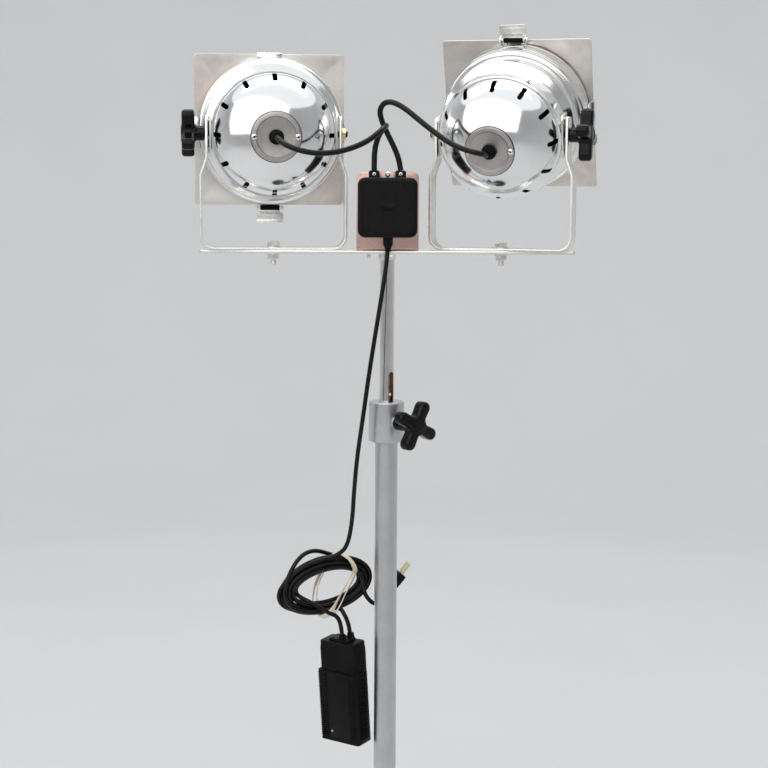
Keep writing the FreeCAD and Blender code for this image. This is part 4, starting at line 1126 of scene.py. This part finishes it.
# ---- rubber band: wound twice round the coil ----
def make_band():
    first = [(17, 38.5, 0), (24, 34, -12), (32, 20, -13.5), (28, 9, -11.5), (15, -10, -12),
             (0, -29, -17), (-6, -37.5, -8), (-9, -39, 3), (-13, -31, 12), (-12, -5, 10),
             (-2, 16, 11), (9, 33, 14.5)]
    second = [(20, 38.5, 1), (28, 33, -12), (35.5, 19, -13.8), (32, 8, -12), (21, -10, -13),
              (7, -29, -18), (1, -37.5, -8), (-3, -39, 3), (-6, -31, 13), (-7, -5, 11),
              (3, 16, 12), (11, 33, 15.5)]
    along_axis = Vector((cos(COIL_YAW), sin(COIL_YAW), 0))
    back = Vector((-sin(COIL_YAW), cos(COIL_YAW), 0))
    centre = COIL_CENTRE + Vector((0, 0, BAR_TOP))
    points = [centre + along_axis * a + Vector((0, 0, u)) + back * d for a, u, d in first + second]
    count = len(points)
    fine = []
    for n in range(count):
        p0, p1, p2, p3 = (points[(n + k) % count] for k in (-1, 0, 1, 2))
        for k in range(6):
            t = k / 6
            fine.append(0.5 * ((2 * p1) + (p2 - p0) * t + (2 * p0 - 5 * p1 + 4 * p2 - p3) * t * t
                               + (3 * p1 - p0 - 3 * p2 + p3) * t ** 3))
    middle = sum(fine, Vector()) / len(fine)
    loops = []
    total = len(fine)
    for n, p in enumerate(fine):
        tangent = (fine[(n + 1) % total] - fine[n - 1]).normalized()
        out = p - middle
        out = (out - tangent * out.dot(tangent)).normalized()
        side = tangent.cross(out)
        twist = 0.35 * sin(TAU * 3 * n / total)
        flat = side * cos(twist) + out * sin(twist)
        thick = out * cos(twist) - side * sin(twist)
        wide = 3.3 + 0.6 * sin(TAU * 5 * n / total + 1)
        loops.append([p + flat * a + thick * b for a, b in rectangle(2 * wide, 1.1, 0.4, 2)])
    piece("coil_band", Shape().loft(loops, ring=True), BAND, "mast", "rubber_band", angle=60)


# ---- dimmer and plug ----
DIMMER_TOP = (-56.5, 8, BAR_TOP - 494)
PLUG_MIDDLE = (16, 37, BAR_TOP - 418)
RIBS = 27
RIB_PITCH = 3.1
RIB_HIGH = 1.5
BLADE_SPACING = 12.7


def make_dimmer():
    place = shift(*DIMMER_TOP) @ turn(0.3, "Y") @ turn(-36, "Z")
    place = place @ turn(6, "X")
    body = Shape()
    outline = [(x, y + 3.5) for x, y in rectangle(54, 29, 4, 6)]
    body.stack(outline, ((-134, 1.6), (-133.2, 0.5), (-131.6, 0), (-9, 0), (-8, 0.6), (-1.6, 0.8),
                         (-0.4, 1.4), (0, 2.6)))
    step = [(x, y + 3.5) for x, y in rectangle(30, 20, 3, 5)]
    body.stack(step, ((-1, 0), (2.4, 0), (3.2, 0.8), (3.4, 1.8)))
    for end in (LEAD_IN_ROUTE[-1], LEAD_OUT_ROUTE[0]):
        local = place.inverted() @ Vector((end[0], end[1], end[2] + BAR_TOP))
        boot = [(-1, 0), (-1, 5), (4.4, 4.8), (5, 4.2), (6.4, 4.1), (6.8, 4.6), (8.2, 4.4),
                (8.6, 3.6), (8.6, 0)]
        body.turned(boot, 28, shift(local.x, local.y, 0))
    for x in (-15, 15):
        foot = [(-134, 0), (-136.6, 0), (-136.6, 2.6), (-136, 3.2), (-133, 3.4)]
        body.turned(foot, 24, shift(x, 4, 0))
    piece("dimmer_housing", body, PLASTIC, "mast", "dimmer_body", place, angle=40)

    shell = Shape()
    thick = 2.6
    channel = smooth_path([(-28.7, 12), (-28.7, -12.7), (28.7, -12.7), (28.7, 12)], 3, 5)
    walls = strip(channel, 94, thick, (1.5, 1.5), 0.5)
    shell.loft(walls, place=axes((1, 0, 0), (0, 1, 0), (0, 0, 1), (0, 0, -85.6)))
    front = -14
    for n in range(RIBS):
        z = -45.5 - RIB_PITCH * n
        for middle, wide in ((-22, 12), (22.5, 10)):
            rib = rectangle(wide, RIB_HIGH, 0.5, 2)
            shell.stack(rib, moved(front, [(0.3, 0), (-0.8, 0), (-1.2, 0.3)]), axis="Y",
                        at=(middle, z))
        rib = rectangle(18, RIB_HIGH, 0.5, 2)
        for side in (-1, 1):
            levels = [(side * x, pull) for x, pull in ((29.8, 0), (30.6, 0), (31, 0.3))]
            shell.stack(rib, levels, axis="X", at=(0, z))
    for z in (-42, -130.5):
        lip = rectangle(56, 2, 0.7, 3)
        shell.stack(lip, moved(front, [(0.3, 0), (-0.6, 0), (-0.9, 0.3)]), axis="Y", at=(0, z))
    piece("dimmer_slider_shell", shell, PLASTIC, "dimmer_slider", "dimmer_slider", place, angle=40)
    light = Shape().turned([(0, 0), (0, 1.5), (0.7, 1.3), (1.1, 0.7), (1.2, 0)], 20,
                           shift(-11, front, -119) @ REARWARD)
    piece("dimmer_pilot_light", light, GREY_PLASTIC, "dimmer_slider", place=place)


def make_plug():
    place = shift(*PLUG_MIDDLE) @ turn(12, "Z") @ turn(-52, "Y")
    place = place @ turn(90, "X")
    body = Shape()
    outline = rounded([(-20, -6, 2), (0, -11, 3), (6, -11, 1.2), (6, 11, 1.2), (0, 11, 3),
                       (-20, 6, 2)], 0, 4)
    body.stack(outline, ((-6, 1.8), (-5.4, 0.6), (-4.4, 0), (4.4, 0), (5.4, 0.6), (6, 1.8)),
               axis="Y")
    tail = [(-34, 0), (-34, 3.1)]
    for n in range(5):
        s = -33.6 + 3 * n
        tail += [(s, 3.4 + 0.12 * n), (s + 1.6, 3.7 + 0.12 * n), (s + 1.9, 3), (s + 2.8, 3)]
    tail += [(-18, 4.4), (-18, 0)]
    body.turned(tail, 32, YZ)
    for n in range(4):
        rib = rectangle(1.3, 11 + 1.2 * n, 0.5, 2)
        for side in (-1, 1):
            levels = [(side * y, pull) for y, pull in ((5.7, 0), (6.5, 0), (6.8, 0.3))]
            body.stack(rib, levels, axis="Y", at=(-14 + 3.2 * n, 0))
    grip = piece("mains_plug_body", body, PLASTIC, "mast", "plug_body", place, angle=40)
    blades = Shape()
    for z in (-BLADE_SPACING / 2, BLADE_SPACING / 2):
        blade = rounded([(5.5, z - 3.1, 0.2), (21, z - 3.1, 1.2), (22.6, z - 1.8, 1),
                         (22.6, z + 1.8, 1), (21, z + 3.1, 1.2), (5.5, z + 3.1, 0.2)], 0, 3)
        blades.stack(blade, ((-0.75, 0.25), (-0.5, 0), (0.5, 0), (0.75, 0.25)), axis="Y")
    pins = piece("mains_plug_blades", blades, BRASS, "mast", "plug_blades", place)
    return grip, pins


make_stand()
make_mast_inside()
make_cross_bar()
make_box()
lamp_cord("left", LEFT_LAMP_ROUTE)
lamp_cord("right", RIGHT_LAMP_ROUTE)
make_band()
make_dimmer()
plug = make_plug()

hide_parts("main_cord", "cord_coil", "dimmer_lead_in")
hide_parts("dimmer_lead_out")


# ---- stage and light ----
def make_stage():
    profile = [(0, 0), (2500, 0), (4500, 0)]
    profile += [(4500 + 2500 * sin(a), 2500 - 2500 * cos(a))
                for a in [pi / 2 * n / 16 for n in range(1, 17)]]
    profile.append((7000, 6500))
    loops = [[(x, y, h) for x, y in circle(r, 96)] for r, h in profile]
    shape = Shape().loft(loops, caps=(True, False))
    mesh = bpy.data.meshes.new("studio_floor")
    mesh.from_pydata([p * 0.001 for p in shape.points], [], shape.faces)
    mesh.polygons.foreach_set("use_smooth", [True] * len(mesh.polygons))
    paper = Surface("pale_floor", Roughness=0.9)
    paper.ramp(paper.noise(1.5), [(0.3, 0.54), (0.7, 0.56)], "Base Color")
    mesh.materials.append(paper.material)
    add_object("studio_floor", mesh)


def area_light(name, place, target, wide, high, power):
    data = bpy.data.lights.new(name, "AREA")
    data.shape = "RECTANGLE"
    data.size = wide
    data.size_y = high
    data.energy = power
    lamp = add_object(name, data)
    lamp.location = place
    lamp.visible_camera = False
    lamp.rotation_euler = (Vector(target) - Vector(place)).to_track_quat("-Z", "Y").to_euler()


make_stage()
area_light("overhead_softbox", (-1.2, -2.3, 2.7), (0, 0, 1.3), 6.4, 3.4, 72)
area_light("backdrop_light", (0, 0.8, 5.6), (0, 6, 1.2), 6, 1.6, 155)
area_light("floor_light", (0, 2, 5), (0, 3.5, 0), 5, 3, 25)
world_data = bpy.data.worlds.new("studio_air")
world_data.use_nodes = True
sky = world_data.node_tree.nodes["Background"].inputs
sky["Color"].default_value = (0.96, 0.98, 1, 1)
sky["Strength"].default_value = 1
bpy.context.scene.world = world_data
bpy.context.scene.view_settings.view_transform = "Standard"
